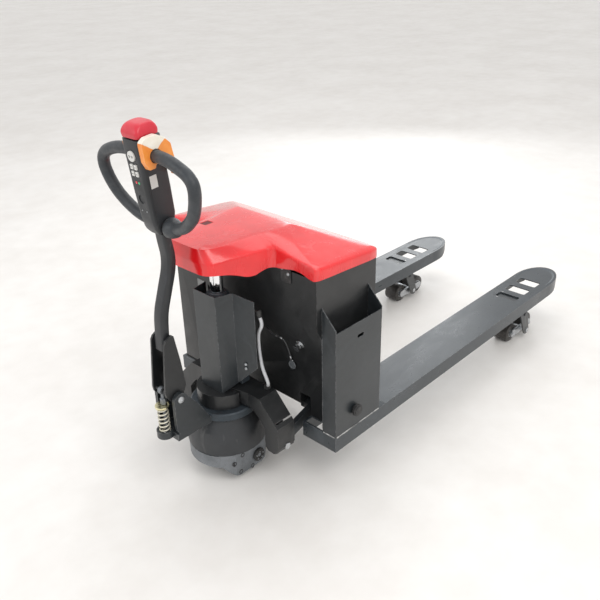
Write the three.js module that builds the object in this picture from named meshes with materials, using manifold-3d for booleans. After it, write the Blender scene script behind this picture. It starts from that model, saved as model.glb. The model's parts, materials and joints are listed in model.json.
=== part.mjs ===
// Walking electric pallet truck: two forks on tandem load rollers, a battery housing under a red
// cover, a steered drive unit below the lift cylinder, and an upright tiller with a control head.
// Millimetres, +Z up, +X towards the fork tips, +Y to the left of someone facing the tips.
// The origin is on the floor, under the middle of the truck's outer box. The forks stand raised.
import * as THREE from "three";
import { mergeVertices } from "three/addons/utils/BufferGeometryUtils.js";
import Module from "manifold-3d";

const wasm = await Module();
wasm.setup();

// ---- driving dimensions -------------------------------------------------------------------
// Places are measured from the fitter's datums: back from the heel plate of the forks (x), left
// of the centre line (y) and up from the raised deck (z). add() carries them to the floor origin.
const LENGTH = 1800; // front of the spring cup to the fork tips
const FORK_LENGTH = 1448; // heel plate to tip; 1220 of it stands clear of the housing
const WIDTH = 685; // over the forks
const CAP_Y = 360; // the side cap stands a little beyond the right fork
const DECK_Z = 190; // top of the raised forks above the floor
const FORK_WIDTH = 152;
const FORK_DEPTH = 50;
const GAP = 0.4; // between two pieces that touch

const HEEL_X = LENGTH / 2 - FORK_LENGTH;
const HALF_WIDTH = WIDTH / 2;
const FORK_Y = HALF_WIDTH - FORK_WIDTH / 2;
const SHIFT_Y = (CAP_Y - HALF_WIDTH) / 2;

const SHELL_Y = 293; // half width of the battery housing
const SHELL_TOP = 482;
const STEER_X = -110; // steering axis, which is also the lift cylinder's
const WHEEL_R = 105;
const WHEEL_Z = WHEEL_R - DECK_Z;
const ROLLER_R = 37;
const LEG_PIN = { x: -70, z: -49 }; // base legs to rocker arms
const ROCKER = { x: 87, z: 1 };
const ROD_PIN = { x: 94.4, z: -22.3 }; // rocker to push rod
const YOKE = { x: 1122, z: -33 };
const YOKE_PIN = { x: 1129.4, z: -19.7 }; // push rod to yoke
const BOGIE = { x: 1173, z: ROLLER_R - DECK_Z };
const BOGIE_REACH = 62; // bogie pin to each roller's axle
const ROD_Y = 204;
const PIVOT = { x: -295, z: 150 }; // tiller
const SPRING_X = -328;
const ROD_EYE = { x: -322, z: 175 };
const HEAD_TILT = THREE.MathUtils.degToRad(6.7);
const HEAD = { x: -268, z: 600 };

// ---- finishes -----------------------------------------------------------------------------
const finish = (color, roughness, metalness) =>
  new THREE.MeshStandardMaterial({ color, roughness, metalness });
const FINISH = {
  frame: finish(0x3b3f42, 0.5, 0.2),
  dark: finish(0x232628, 0.5, 0.2),
  red: finish(0xe0262b, 0.3, 0.0),
  redButton: finish(0xe8384a, 0.4, 0.0),
  chrome: finish(0xe6e8ea, 0.12, 1.0),
  zinc: finish(0xd9dcdc, 0.35, 0.9),
  yellowZinc: finish(0xe4dcb0, 0.35, 0.9),
  casting: finish(0x6e7276, 0.55, 0.5),
  blueCasting: finish(0x596672, 0.5, 0.4),
  plastic: finish(0x35383a, 0.6, 0.0),
  grip: finish(0x454a50, 0.55, 0.0),
  rubber: finish(0x222324, 0.85, 0.0),
  white: finish(0xf0efe9, 0.5, 0.0),
  orange: finish(0xf2a24c, 0.45, 0.0),
  battery: finish(0x2c3a46, 0.6, 0.0),
};

// ---- solids -------------------------------------------------------------------------------
const group = new THREE.Group();
group.name = "pallet_truck";

function solid(geometry) {
  const g = geometry.clone();
  g.deleteAttribute("normal");
  g.deleteAttribute("uv");
  const m = mergeVertices(g, 1e-4);
  const data = { vertProperties: m.attributes.position.array, triVerts: new Uint32Array(m.index.array) };
  return new wasm.Manifold(new wasm.Mesh({ numProp: 3, ...data }));
}

function geometryOf(manifold) {
  const m = manifold.getMesh();
  const g = new THREE.BufferGeometry();
  g.setAttribute("position", new THREE.BufferAttribute(new Float32Array(m.vertProperties), 3));
  g.setIndex(new THREE.BufferAttribute(new Uint32Array(m.triVerts), 1));
  return g;
}

function join(first, ...rest) {
  return geometryOf(rest.reduce((sum, g) => sum.add(solid(g)), solid(first)));
}

function cut(first, ...rest) {
  return geometryOf(rest.reduce((left, g) => left.subtract(solid(g)), solid(first)));
}

function add(name, geometry, material) {
  const mesh = new THREE.Mesh(geometry.translate(HEEL_X, SHIFT_Y, DECK_Z), material);
  mesh.name = name;
  group.add(mesh);
}

function overlap(first, second) {
  return geometryOf(solid(first).intersect(solid(second)));
}

function box(x0, x1, y0, y1, z0, z1) {
  const g = new THREE.BoxGeometry(x1 - x0, y1 - y0, z1 - z0);
  return g.translate((x0 + x1) / 2, (y0 + y1) / 2, (z0 + z1) / 2);
}

function extrude(points, depth) {
  const shape = new THREE.Shape(points.map(([u, v]) => new THREE.Vector2(u, v)));
  return new THREE.ExtrudeGeometry(shape, { depth, bevelEnabled: false });
}

// An outline in plan, standing between two heights.
const prismZ = (points, z0, z1) => extrude(points, z1 - z0).translate(0, 0, z0);

// An outline in side view (x, z), running across the truck between two y.
function prismY(points, y0, y1) {
  return extrude(points, y1 - y0).rotateX(Math.PI / 2).translate(0, y1, 0);
}

// An outline in end view (y, z), running along the truck between two x.
function prismX(points, x0, x1) {
  return extrude(points, x1 - x0).rotateX(Math.PI / 2).rotateZ(Math.PI / 2).translate(x0, 0, 0);
}

function rodY(x, z, r, y0, y1, sides = 24) {
  return new THREE.CylinderGeometry(r, r, y1 - y0, sides).translate(x, (y0 + y1) / 2, z);
}

function rodX(y, z, r, x0, x1, sides = 24) {
  return new THREE.CylinderGeometry(r, r, x1 - x0, sides).rotateZ(-Math.PI / 2)
    .translate((x0 + x1) / 2, y, z);
}

function rodZ(x, y, r, z0, z1, sides = 24) {
  return new THREE.CylinderGeometry(r, r, z1 - z0, sides).rotateX(Math.PI / 2)
    .translate(x, y, (z0 + z1) / 2);
}

// A turned piece about a line across the truck: profile of (radius, y), closed on itself.
function turnedY(profile, x, z, sides = 32) {
  const g = new THREE.LatheGeometry(profile.map(([r, y]) => new THREE.Vector2(r, y)), sides);
  return g.translate(x, 0, z);
}

// A turned piece about an upright line: profile of (radius, z), closed on itself.
function turnedZ(profile, x, y, sides = 32) {
  const g = new THREE.LatheGeometry(profile.map(([r, z]) => new THREE.Vector2(r, z)), sides);
  return g.rotateX(Math.PI / 2).translate(x, y, 0);
}

const closed = (profile) => [...profile, profile[0]];

// Points round a circle or part of one.
function arc(cx, cy, r, from, to, steps) {
  return Array.from({ length: steps + 1 }, (_, i) => {
    const a = THREE.MathUtils.degToRad(from + ((to - from) * i) / steps);
    return [cx + r * Math.cos(a), cy + r * Math.sin(a)];
  });
}

// The same outline with each corner rounded: a corner is [x, y] or [x, y, radius].
function rounded(corners, steps = 4) {
  const n = corners.length;
  return corners.flatMap(([x, y, r = 0], i) => {
    if (!r) return [[x, y]];
    const at = new THREE.Vector2(x, y);
    const before = new THREE.Vector2(...corners[(i + n - 1) % n].slice(0, 2)).sub(at).normalize();
    const after = new THREE.Vector2(...corners[(i + 1) % n].slice(0, 2)).sub(at).normalize();
    const half = Math.acos(before.dot(after)) / 2;
    const reach = r / Math.tan(half);
    const a = at.clone().addScaledVector(before, reach);
    const b = at.clone().addScaledVector(after, reach);
    const centre = at.clone().addScaledVector(before.clone().add(after).normalize(), r / Math.sin(half));
    const from = a.clone().sub(centre).angle();
    let turn = b.clone().sub(centre).angle() - from;
    if (turn > Math.PI) turn -= 2 * Math.PI;
    if (turn < -Math.PI) turn += 2 * Math.PI;
    return Array.from({ length: steps + 1 }, (_, k) => {
      const t = from + (turn * k) / steps;
      return [centre.x + r * Math.cos(t), centre.y + r * Math.sin(t)];
    });
  });
}

// A skin through rings of [x, y, z] points. Open rings end in caps; looped rings join up.
function loft(rings, looped = false) {
  const n = rings[0].length;
  const positions = rings.flat(2);
  const index = [];
  const spans = looped ? rings.length : rings.length - 1;
  for (let r = 0; r < spans; r++) {
    const low = r * n;
    const high = ((r + 1) % rings.length) * n;
    for (let i = 0; i < n; i++) {
      const j = (i + 1) % n;
      index.push(low + i, low + j, high + j, low + i, high + j, high + i);
    }
  }
  if (!looped) {
    const flat = (ring) => ring.map(([x, y]) => new THREE.Vector2(x, y));
    const last = (rings.length - 1) * n;
    const first = THREE.ShapeUtils.triangulateShape(flat(rings[0]), []);
    const final = THREE.ShapeUtils.triangulateShape(flat(rings[rings.length - 1]), []);
    for (const [a, b, c] of first) index.push(a, c, b);
    for (const [a, b, c] of final) index.push(last + a, last + b, last + c);
  }
  const g = new THREE.BufferGeometry();
  g.setAttribute("position", new THREE.Float32BufferAttribute(positions, 3));
  g.setIndex(index);
  return g;
}

// A round or flat section swept along a smooth curve through the points.
function sweep(points, section, steps) {
  const extrudePath = new THREE.CatmullRomCurve3(points.map((p) => new THREE.Vector3(...p)));
  const shape = new THREE.Shape(section.map(([u, v]) => new THREE.Vector2(u, v)));
  return new THREE.ExtrudeGeometry(shape, { steps, extrudePath, bevelEnabled: false });
}

const circle = (r, sides) => arc(0, 0, r, 0, 360, sides).slice(0, sides);

// Folded sheet metal: corners along the outside with their own lower and upper edges.
function foldedSheet(corners, thickness) {
  const n = corners.length;
  const unit = (a, b) => new THREE.Vector2(b.x - a.x, b.y - a.y).normalize();
  const inner = corners.map((c, i) => {
    const a = unit(corners[Math.max(i - 1, 0)], corners[Math.max(i, 1)]);
    const b = unit(corners[Math.min(i, n - 2)], corners[Math.min(i + 1, n - 1)]);
    const normal = new THREE.Vector2(-(a.y + b.y), a.x + b.x).normalize();
    const reach = thickness / (normal.x * -a.y + normal.y * a.x);
    return { x: c.x + normal.x * reach, y: c.y + normal.y * reach };
  });
  const rings = corners.map((c, i) => [
    [c.x, c.y, c.low], [inner[i].x, inner[i].y, c.low],
    [inner[i].x, inner[i].y, c.high], [c.x, c.y, c.high],
  ]);
  const g = loft(rings, true);
  const index = Array.from(g.index.array).slice(0, (n - 1) * 24);
  index.push(0, 2, 1, 0, 3, 2);
  const e = (n - 1) * 4;
  index.push(e, e + 1, e + 2, e, e + 2, e + 3);
  g.setIndex(index);
  return g;
}

const SIDES = [["right", -1], ["left", 1]];

// ---- forks --------------------------------------------------------------------------------
const WALL = 5;
const DECK_PLATE = 4;
const TIP_REACH = 135;
const NOTCH = { x: 112, y: 216 }; // the heel is cut back on the inner side for the rocker
const SLOTS = [[1242, 1292], [1157, 1206], [1084, 1124]];

// Plan of a left fork, inset evenly.
function forkOutline(inset) {
  const half = FORK_WIDTH / 2 - inset;
  const tip = Array.from({ length: 17 }, (_, i) => {
    const a = -Math.PI / 2 + (Math.PI * i) / 16;
    return [FORK_LENGTH - TIP_REACH + (TIP_REACH - inset) * Math.cos(a), FORK_Y + half * Math.sin(a)];
  });
  const notchX = NOTCH.x + inset;
  const notchY = NOTCH.y + inset;
  return [...tip, [inset, FORK_Y + half], [inset, notchY], [notchX, notchY], [notchX, FORK_Y - half]];
}

const mirrored = (points) => points.map(([x, y]) => [x, -y]).reverse();

function fork(side) {
  const plan = (inset) => (side > 0 ? forkOutline(inset) : mirrored(forkOutline(inset)));
  const y = side * FORK_Y;
  const slots = SLOTS.map(([a, b]) =>
    prismZ(rounded([[a, y - 42, 6], [b, y - 42, 6], [b, y + 42, 6], [a, y + 42, 6]], 2), -10, 1));
  const mouth = NOTCH.y + 8;
  const heelOpening = side > 0 ? [mouth, HALF_WIDTH - 8] : [8 - HALF_WIDTH, -mouth];
  const rodY = side * ROD_Y;
  const underHousing = box(-1, 228.6, y - FORK_WIDTH, y + FORK_WIDTH, -0.6, 1);
  return cut(
    prismZ(plan(0), -FORK_DEPTH, 0),
    prismZ(plan(WALL), -FORK_DEPTH - 1, -DECK_PLATE),
    box(6, 34, ...heelOpening, -10, 1),
    box(NOTCH.x - 1, NOTCH.x + WALL + 1, rodY - 8, rodY + 8, -44, -6),
    prismY([[1365, -51], [1449, -51], [1449, -22]], y - FORK_WIDTH, y + FORK_WIDTH),
    underHousing,
    ...slots,
  );
}

for (const [hand, side] of SIDES) add(`fork_${hand}`, fork(side), FINISH.frame);

// Cross member between the heels, a trough turned down, with two ears that carry the rocker shaft.
function heelBeam() {
  const y = FORK_Y - FORK_WIDTH / 2 - GAP;
  const trough = cut(box(122, 226, -y, y, -46, 24), box(128, 220, -y + 5, y - 5, -47, 18));
  const ear = prismY([[126, 22], [126, -44], [110, -44], [66, -14], [66, 12], [76, 22]], -158, -146);
  const other = ear.clone().translate(0, 304, 0);
  return cut(join(trough, ear, other), rodY(ROCKER.x, ROCKER.z, 14.5, -170, 170));
}
add("heel_beam", heelBeam(), FINISH.frame);

// ---- battery housing ----------------------------------------------------------------------
const SHEET = 3;

// Side views of the housing, inset evenly: it leans back low down, except for its left end.
const UPRIGHT_Y = 150;

function slantedProfile(inset, low, high) {
  const slope = inset * 0.25;
  return [[-18 + inset, high], [-18 + inset, 336 + slope], [36 + inset, 222 + slope], [36 + inset, low],
    [228 - inset, low], [228 - inset, high]];
}

function uprightProfile(inset, low, high) {
  return [[-18 + inset, high], [-18 + inset, 33 + inset], [36 + inset, 33 + inset], [36 + inset, low],
    [228 - inset, low], [228 - inset, high]];
}

function shellUnderside(grow) {
  const floor = box(-30, 230, -191 - grow, 191 + grow, -1, 24.4 + grow);
  const wells = SIDES.map(([, side]) => {
    const y = [side * 174 - side * grow, side * 215 + side * grow].sort((a, b) => a - b);
    return box(-30, 114 + grow, ...y, -1, 64 + grow);
  });
  return join(floor, ...wells);
}

function bodyShell() {
  const halves = (inset, top) => {
    const y = SHELL_Y - inset;
    return join(prismY(slantedProfile(inset, GAP + inset, top), -y, UPRIGHT_Y + inset + 1),
      prismY(uprightProfile(inset, GAP + inset, top), UPRIGHT_Y + inset, y));
  };
  const outer = cut(halves(0, SHELL_TOP), shellUnderside(0));
  const room = cut(halves(SHEET, SHELL_TOP + 1), shellUnderside(SHEET));
  const bracket = prismY([[-138, 516], [-138, 528], [6, 528], [6, 440], [-17, 440], [-17, 516]], -40, 40);
  const underSkirt = box(224.9, 230, -294, 294, 469.6, 483);
  return join(cut(outer, room, underSkirt), bracket);
}
add("body_shell", bodyShell(), FINISH.dark);

// Open-topped pocket for papers beside the housing, on the right fork.
function documentPocket() {
  const outside = -HALF_WIDTH;
  const inside = -SHELL_Y - GAP;
  const outline = [[inside, GAP], [inside, 398], [outside, 345], [outside, GAP]];
  const room = [[inside + 1, 3.4], [inside + 1, 400], [outside + SHEET, 400], [outside + SHEET, 3.4]];
  const slot = prismY(rounded([[90, 287, 4.9], [118, 287, 4.9], [118, 297, 4.9], [90, 297, 4.9]]),
    outside - 1, outside + SHEET + 1);
  const rearDrop = box(SHEET, 194, outside - 1, outside + SHEET + 1, 336, 400);
  const lug = box(150, 170, inside - 5, inside, 1, 6);
  return join(cut(prismX(outline, 0, 197), prismX(room, SHEET, 197 - SHEET), slot, rearDrop), lug);
}
add("document_pocket", documentPocket(), FINISH.frame);

function sideCap() {
  const outside = -HALF_WIDTH - GAP;
  return join(
    rodY(82, 60, 13, -CAP_Y + 8, outside),
    rodY(82, 60, 18.5, -CAP_Y + 3, -CAP_Y + 11),
    rodY(82, 60, 15, -CAP_Y, -CAP_Y + 4),
  );
}
add("side_cap", sideCap(), FINISH.rubber);

// Thin moulded cover. Each station round the rim gives its plan position, the height of the skirt
// below and of the shoulder above it, and the point of the flat top that the shoulder rises to.
const ROOF_Z = 563;
const RIM = [
  [234, 303, 470, 499, 84, 105], [104, 303, 478, 510, 78, 104], [-26, 303, 485, 520, 60, 102],
  [-26, 280, 481, 522, 42, 100], [-26, 238, 499, 527, 20, 98], [-26, 173, 484, 535, -2, 95],
  [-26, 145, 483, 538, -24, 92], [-54, 136, 480, 537, -54, 89], [-86, 127, 464, 536, -86, 86],
  [-136, 113, 488, 534, -136, 80], [-176, 101, 495, 531, -172, 75], [-192, 93, 496, 530, -186, 70],
  [-202, 80, 496, 529, -195, 60], [-206, 62, 495, 528, -200, 46],
];

function topCover() {
  const right = RIM.map(([x, y, low, high, px, py]) => [x, -y, low, high, px, -py]).reverse();
  const rim = [...RIM, ...right];
  const n = rim.length;
  const edge = (i) => {
    const a = rim[(i + n) % n];
    const b = rim[(i + 1) % n];
    return new THREE.Vector2(b[0] - a[0], b[1] - a[1]).normalize();
  };
  const offset = (i, distance) => {
    const before = edge(i - 1);
    const after = edge(i);
    const normal = new THREE.Vector2(-before.y - after.y, before.x + after.x).normalize();
    const reach = distance / (normal.y * after.x - normal.x * after.y);
    return [rim[i][0] + normal.x * reach, rim[i][1] + normal.y * reach];
  };
  const ring = (pick) => rim.map((station, i) => pick(station, i));
  const rings = [
    ring(([, , , , px, py]) => [px * 0.99, py * 0.96, ROOF_Z - 4]),
    ring(([, , , high], i) => [...offset(i, 4), high - 3]),
    ring(([, , low], i) => [...offset(i, 4), low]),
    ring(([x, y, low]) => [x, y, low]),
    ring(([x, y, , high]) => [x, y, high]),
    ring(([, , , , px, py]) => [px, py, ROOF_Z]),
  ];
  return cut(loft(rings), box(-74, -44, 74, 104, ROOF_Z - 1.6, ROOF_Z + 4));
}
add("top_cover", topCover(), FINISH.red);

add("battery_pack", join(box(120, 223, -200, 200, 28, 420), box(140, 160, -120, -80, 419, 432),
  box(140, 160, 80, 120, 419, 432)), FINISH.battery);
add("pump_unit", join(box(-8, 60, 70, 150, 345, 470), rodX(190, 400, 34, 0, 96), box(10, 50, 149, 170, 380, 420)),
  FINISH.casting);
add("controller", box(-10, 50, -250, -70, 345, 440), FINISH.zinc);
add("lift_ram", rodZ(STEER_X + 6, 0, 18, 236, 515.6), FINISH.chrome);

// Slanted front wall: where it is at a height, and the direction it faces.
const wallX = (z) => -18 + (54 * (336 - z)) / 114;
const WALL_NORMAL = new THREE.Vector3(-114, 0, -54).normalize();

// A turned piece standing out of the slanted wall: profile of (radius, distance out).
function onWall(profile, y, z) {
  const g = new THREE.LatheGeometry(profile.map(([r, out]) => new THREE.Vector2(r, out)), 24);
  g.applyQuaternion(new THREE.Quaternion().setFromUnitVectors(new THREE.Vector3(0, 1, 0), WALL_NORMAL));
  return g.translate(wallX(z), y, z);
}
const KEY = { y: -186, z: 236 };
add("key_switch", onWall([[0, 0.5], [14, 0.5], [14, 3], [10, 4], [10, 11], [0, 11]], KEY.y, KEY.z),
  FINISH.zinc);

function ignitionKey() {
  const shank = onWall([[0, 11.5], [3, 11.5], [3, 20], [0, 20]], KEY.y, KEY.z);
  const bow = onWall([[0, 19], [11, 19], [11, 22], [0, 22]], KEY.y, KEY.z);
  return join(shank, bow);
}
add("ignition_key", ignitionKey(), FINISH.plastic);
add("charge_socket", box(-21.6, -18.4, -205, -168, 448, 492), FINISH.rubber);

const TETHER = [[20, -59, 246], [14, -92, 240], [20, -128, 231], [27, -139, 200], [28.5, -149, 168]];
add("key_tether", sweep(TETHER, circle(1.6, 8), 24), FINISH.zinc);
add("key_tag", rodX(-151, 152, 14, 27, 30), FINISH.plastic);

// ---- base: arch over the drive wheel, its legs, the lift cylinder and its shroud -----------
const ARCH_FRONT = -107;
const ARCH_REAR = -40;

function baseArch() {
  const left = [[220, -44], [214, -58], [200, -66], [178, -66], [167, -56], [167, 6], [140, 40], [112, 56]];
  const under = [...left.map(([y, z]) => [-y, z]), ...left.reverse()];
  const over = [[219, 27], [150, 100], [-150, 100], [-219, 27]];
  const arch = prismX([...under, ...over], ARCH_FRONT, ARCH_REAR);
  const nose = prismZ([[ARCH_FRONT + 4, 120], [-121, 38], [-121, -38], [ARCH_FRONT + 4, -120]], 56, 100);
  const neck = cut(rodZ(STEER_X, 0, 78, 50, 96, 40), box(-118, 0, -90, 90, 40, 110));
  const slots = SIDES.map(([, side]) => {
    const y = [side * 174, side * 210].sort((a, b) => a - b);
    return box(ARCH_FRONT + 6, ARCH_REAR + 1, ...y, -70, 40);
  });
  const pinHole = rodY(LEG_PIN.x, LEG_PIN.z + 2, 10.4, -230, 230);
  return cut(join(arch, nose, neck), ...slots, pinHole);
}
add("base_arch", baseArch(), FINISH.dark);

for (const [hand, side] of SIDES) {
  const y = [side * 163, side * 223].sort((a, b) => a - b);
  add(`leg_pin_${hand}`, rodY(LEG_PIN.x, LEG_PIN.z + 2, 10, ...y), FINISH.zinc);
}

add("lift_cylinder", cut(join(rodZ(STEER_X + 6, 0, 30, 104.8, 390), rodZ(STEER_X + 6, 0, 34, 360, 385),
  box(-90, -60, -62, -28, 104.8, 330), box(-92, -76, -40, -10, 200, 300)),
  rodZ(STEER_X + 6, 0, 18.5, 118, 391)), FINISH.blueCasting);

// Folded guard in front of the lift cylinder, open above, with a foot on the arch.
function ramShroud() {
  const half = [[-152, 45, 96, 403], [-100, 58, 113, 402], [-78, 119, 176, 386]];
  const corners = [...half.map(([x, y, low, high]) => ({ x, y, low, high })).reverse(),
    ...half.map(([x, y, low, high]) => ({ x, y: -y, low, high }))];
  const foot = cut(box(-150.5, -62, -44, 44, 100.4, 104.4), box(-118, -60, -50, 50, 108, 110));
  return join(foldedSheet(corners, 3), foot);
}
add("ram_shroud", ramShroud(), FINISH.frame);

const CABLE = [[-58, -112, 345], [-58, -124, 313], [-58, -109, 274], [-60, -118, 180], [-60, -140, 128],
  [-52, -128, 107]];
add("power_cable", sweep(CABLE, circle(5, 8), 30), FINISH.zinc);

// ---- lifting linkage ----------------------------------------------------------------------
// A bar with round ends between two points in side view.
function link(a, b, ra, rb, y0, y1) {
  const along = Math.atan2(b.z - a.z, b.x - a.x);
  const deg = THREE.MathUtils.radToDeg(along);
  const outline = [...arc(a.x, a.z, ra, deg + 90, deg + 270, 8), ...arc(b.x, b.z, rb, deg - 90, deg + 90, 8)];
  return prismY(outline, y0, y1);
}

const span = (side, a, b) => [side * a, side * b].sort((p, q) => p - q);

// Shaft across the truck with a forward arm to each base leg and a short lever to each push rod.
function rockerShaft() {
  const legPin = { x: LEG_PIN.x, z: LEG_PIN.z + 2 };
  const reach = Math.hypot(ROCKER.x - legPin.x, ROCKER.z - legPin.z);
  const near = (distance) => ({
    x: ROCKER.x + ((legPin.x - ROCKER.x) * distance) / reach,
    z: ROCKER.z + ((legPin.z - ROCKER.z) * distance) / reach,
  });
  const pieces = SIDES.flatMap(([, side]) => [
    link(ROCKER, near(reach), 20, 18, ...span(side, 182, 198)),
    link(ROCKER, ROD_PIN, 18, 10, ...span(side, 182, 197)),
    rodY(ROD_PIN.x, ROD_PIN.z, 5, ...span(side, 190, 211), 16),
  ]);
  const slots = SIDES.map(([, side]) => link(near(reach + 1), near(reach - 10), 11.5, 11.5, ...span(side, 180, 204)));
  return cut(join(rodY(ROCKER.x, ROCKER.z, 14, -190, 190), ...pieces), ...slots);
}
add("rocker_shaft", rockerShaft(), FINISH.frame);

// Each eye sits off its pin by half the arc that the pin makes, so the slack is shared.
function pushRod(side) {
  const [y0, y1] = span(side, ROD_Y - 5, ROD_Y + 5);
  const ends = [{ x: ROD_PIN.x, z: ROD_PIN.z - 0.6 }, { x: YOKE_PIN.x, z: YOKE_PIN.z + 0.95 }];
  const eyes = ends.map((p) => link(p, p, 11, 11, y0, y1));
  const holes = ends.map((p) => rodY(p.x, p.z, 6.6, y0 - 1, y1 + 1, 16));
  return cut(join(link(...ends, 8.5, 8.5, y0, y1), ...eyes), ...holes);
}

// Two cheeks on a cross shaft; the inner one also carries the pin of the push rod.
function yoke(side) {
  const outer = link(YOKE, BOGIE, 26, 18, ...span(side, 323.5, 330));
  const inner = link(YOKE, BOGIE, 26, 18, ...span(side, 211, 217.5));
  const shaft = rodY(YOKE.x, YOKE.z, 9, ...span(side, 210.4, 336));
  const rodPin = rodY(YOKE_PIN.x, YOKE_PIN.z, 5, ...span(side, 198, 212), 16);
  const studs = [span(side, 329, 334), span(side, 207.6, 212)].map((y) => rodY(1144, -72, 8, ...y, 20));
  const bore = rodY(BOGIE.x, BOGIE.z, 9.4, ...span(side, 200, 340));
  return cut(join(shaft, outer, inner, rodPin, ...studs), bore);
}

// Two link bars on a centre pin, with an axle at each end.
function bogie(side) {
  const y = side * FORK_Y;
  const front = { x: BOGIE.x - BOGIE_REACH, z: BOGIE.z };
  const rear = { x: BOGIE.x + BOGIE_REACH, z: BOGIE.z };
  return join(
    rodY(BOGIE.x, BOGIE.z, 9, ...span(side, 209, 334)),
    link(front, rear, 15, 15, y - 39.5, y - 33.5),
    link(front, rear, 15, 15, y + 33.5, y + 39.5),
    rodY(front.x, front.z, 7, y - 34, y + 34, 16),
    rodY(rear.x, rear.z, 7, y - 34, y + 34, 16),
  );
}

function loadRoller(side, x) {
  const y = side * FORK_Y;
  const profile = [[7.5, y - 30], [34, y - 30], [ROLLER_R, y - 26], [ROLLER_R, y + 26], [34, y + 30], [7.5, y + 30]];
  return turnedY(closed(profile), x, BOGIE.z);
}

for (const [hand, side] of SIDES) {
  add(`push_rod_${hand}`, pushRod(side), FINISH.frame);
  add(`yoke_${hand}`, yoke(side), FINISH.frame);
  add(`bogie_${hand}`, bogie(side), FINISH.zinc);
  add(`roller_front_${hand}`, loadRoller(side, BOGIE.x - BOGIE_REACH), FINISH.rubber);
  add(`roller_rear_${hand}`, loadRoller(side, BOGIE.x + BOGIE_REACH), FINISH.rubber);
}

// ---- steered drive unit -------------------------------------------------------------------
add("steering_ring", turnedZ(closed([[60, 22], [96, 22], [100, 26], [100, 44], [96, 48], [60, 48]]), STEER_X, 0),
  FINISH.blueCasting);

function driveCasting() {
  const plate = cut(rodZ(STEER_X, 0, 84, 5, 21.6, 32), box(STEER_X - 73, STEER_X + 73, -36.8, 36.8, 0, 30));
  const rails = [-1, 1].map((side) => {
    const y = [side * 37, side * 62].sort((a, b) => a - b);
    return box(STEER_X - 40, STEER_X + 40, ...y, -4, 6);
  });
  return join(plate, ...rails);
}
add("drive_casting", driveCasting(), FINISH.casting);

// What turns with the wheel keeps inside the cover, and may swell a little below its edge.
function swept() {
  return join(rodZ(STEER_X, 0, 94, -60, -20, 32), rodZ(STEER_X, 0, 106, -174, -46, 48),
    rodZ(STEER_X, 0, 116, -174, -88.4, 48));
}

function gearCase() {
  const outline = arc(STEER_X, WHEEL_Z, 98, 200, 340, 16).map(([x, z]) => [x, Math.max(z, -171)]);
  outline.push([STEER_X + 92, -60], [STEER_X + 70, -22], [STEER_X - 70, -22], [STEER_X - 92, -60]);
  const outer = prismY(outline, -100, -37);
  const band = cut(turnedZ(closed([[111, -136], [116, -130], [116, -90], [111, -90]]), STEER_X, 0, 48),
    box(STEER_X - 60, STEER_X + 130, -130, 130, -200, 0), box(STEER_X - 130, STEER_X + 130, 60, 130, -200, 0));
  const bridge = box(STEER_X - 114, STEER_X - 88, -70, -50, -130, -92);
  return join(overlap(outer, swept()), overlap(join(band, bridge), swept()), rodY(-79, -136, 20, -106, -60));
}
add("gear_case", gearCase(), FINISH.casting);
add("drive_motor", overlap(join(rodY(STEER_X, WHEEL_Z, 66, 37, 100, 32), rodY(STEER_X, WHEEL_Z, 40, 90, 108, 24)),
  swept()), FINISH.plastic);

// Hood over the drive: a round skirt below, four flat facets above.
function motorCover() {
  const sides = 32;
  const ring = (low, round, square, z) => Array.from({ length: sides }, (_, i) => {
    const a = (2 * Math.PI * i) / sides;
    const flat = square / Math.max(Math.abs(Math.cos(a + 0.35)), Math.abs(Math.sin(a + 0.35)));
    const r = Math.min(round, flat);
    return [STEER_X + r * Math.cos(a), r * Math.sin(a), z - low * (r - square)];
  });
  return loft([
    ring(0, 87, 87, 18), ring(0.5, 109, 96, -12), ring(0, 115, 115, -48), ring(0, 115, 115, -86),
    ring(0, 118, 118, -86), ring(0, 118, 118, -46), ring(0.5, 112, 99, -8), ring(0, 89, 89, 20),
  ], true);
}
add("motor_cover", motorCover(), FINISH.plastic);

const TYRE = [[76, -33], [98, -35], [WHEEL_R, -29], [WHEEL_R, 29], [98, 35], [76, 33]];
add("drive_tyre", turnedY(closed(TYRE), STEER_X, WHEEL_Z, 48), FINISH.rubber);
add("drive_hub", join(turnedY(closed([[0, -8], [75.5, -8], [75.5, 8], [0, 8]].slice(1, 3).concat([[10, 8], [10, -8]])),
  STEER_X, WHEEL_Z, 32), turnedY(closed([[66, -32], [75.5, -32], [75.5, 32], [66, 32]]), STEER_X, WHEEL_Z, 32),
  rodY(STEER_X, WHEEL_Z, 18, -36.4, 36.4)), FINISH.casting);

// Bracket with two ears for the tiller and a cup for its return spring.
function tillerMount() {
  const profile = [...arc(PIVOT.x, PIVOT.z - 2, 22, 30, 180, 8), [-318, 60], [-306, 30], [-290, 22], [-205, 22],
    [-205, 48], [-236, 104]];
  const web = join(box(-318, -200, -45, 45, 22, 44), rodZ(SPRING_X, 0, 24, 28, 50, 32));
  return cut(
    join(web, prismY(profile, 33, 45), prismY(profile, -45, -33)),
    rodZ(STEER_X, 0, 100.6, 0, 80, 48),
    rodZ(SPRING_X, 0, 12.4, 20, 60),
    rodZ(SPRING_X, 0, 18.5, 36, 60),
    box(-346, -302, -15, 15, 50, 60),
    rodY(PIVOT.x, PIVOT.z, 10.4, -60, 60),
  );
}
add("tiller_mount", tillerMount(), FINISH.frame);
add("tiller_pin", rodY(PIVOT.x, PIVOT.z, 10, -46.5, 46.5), FINISH.zinc);

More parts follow.
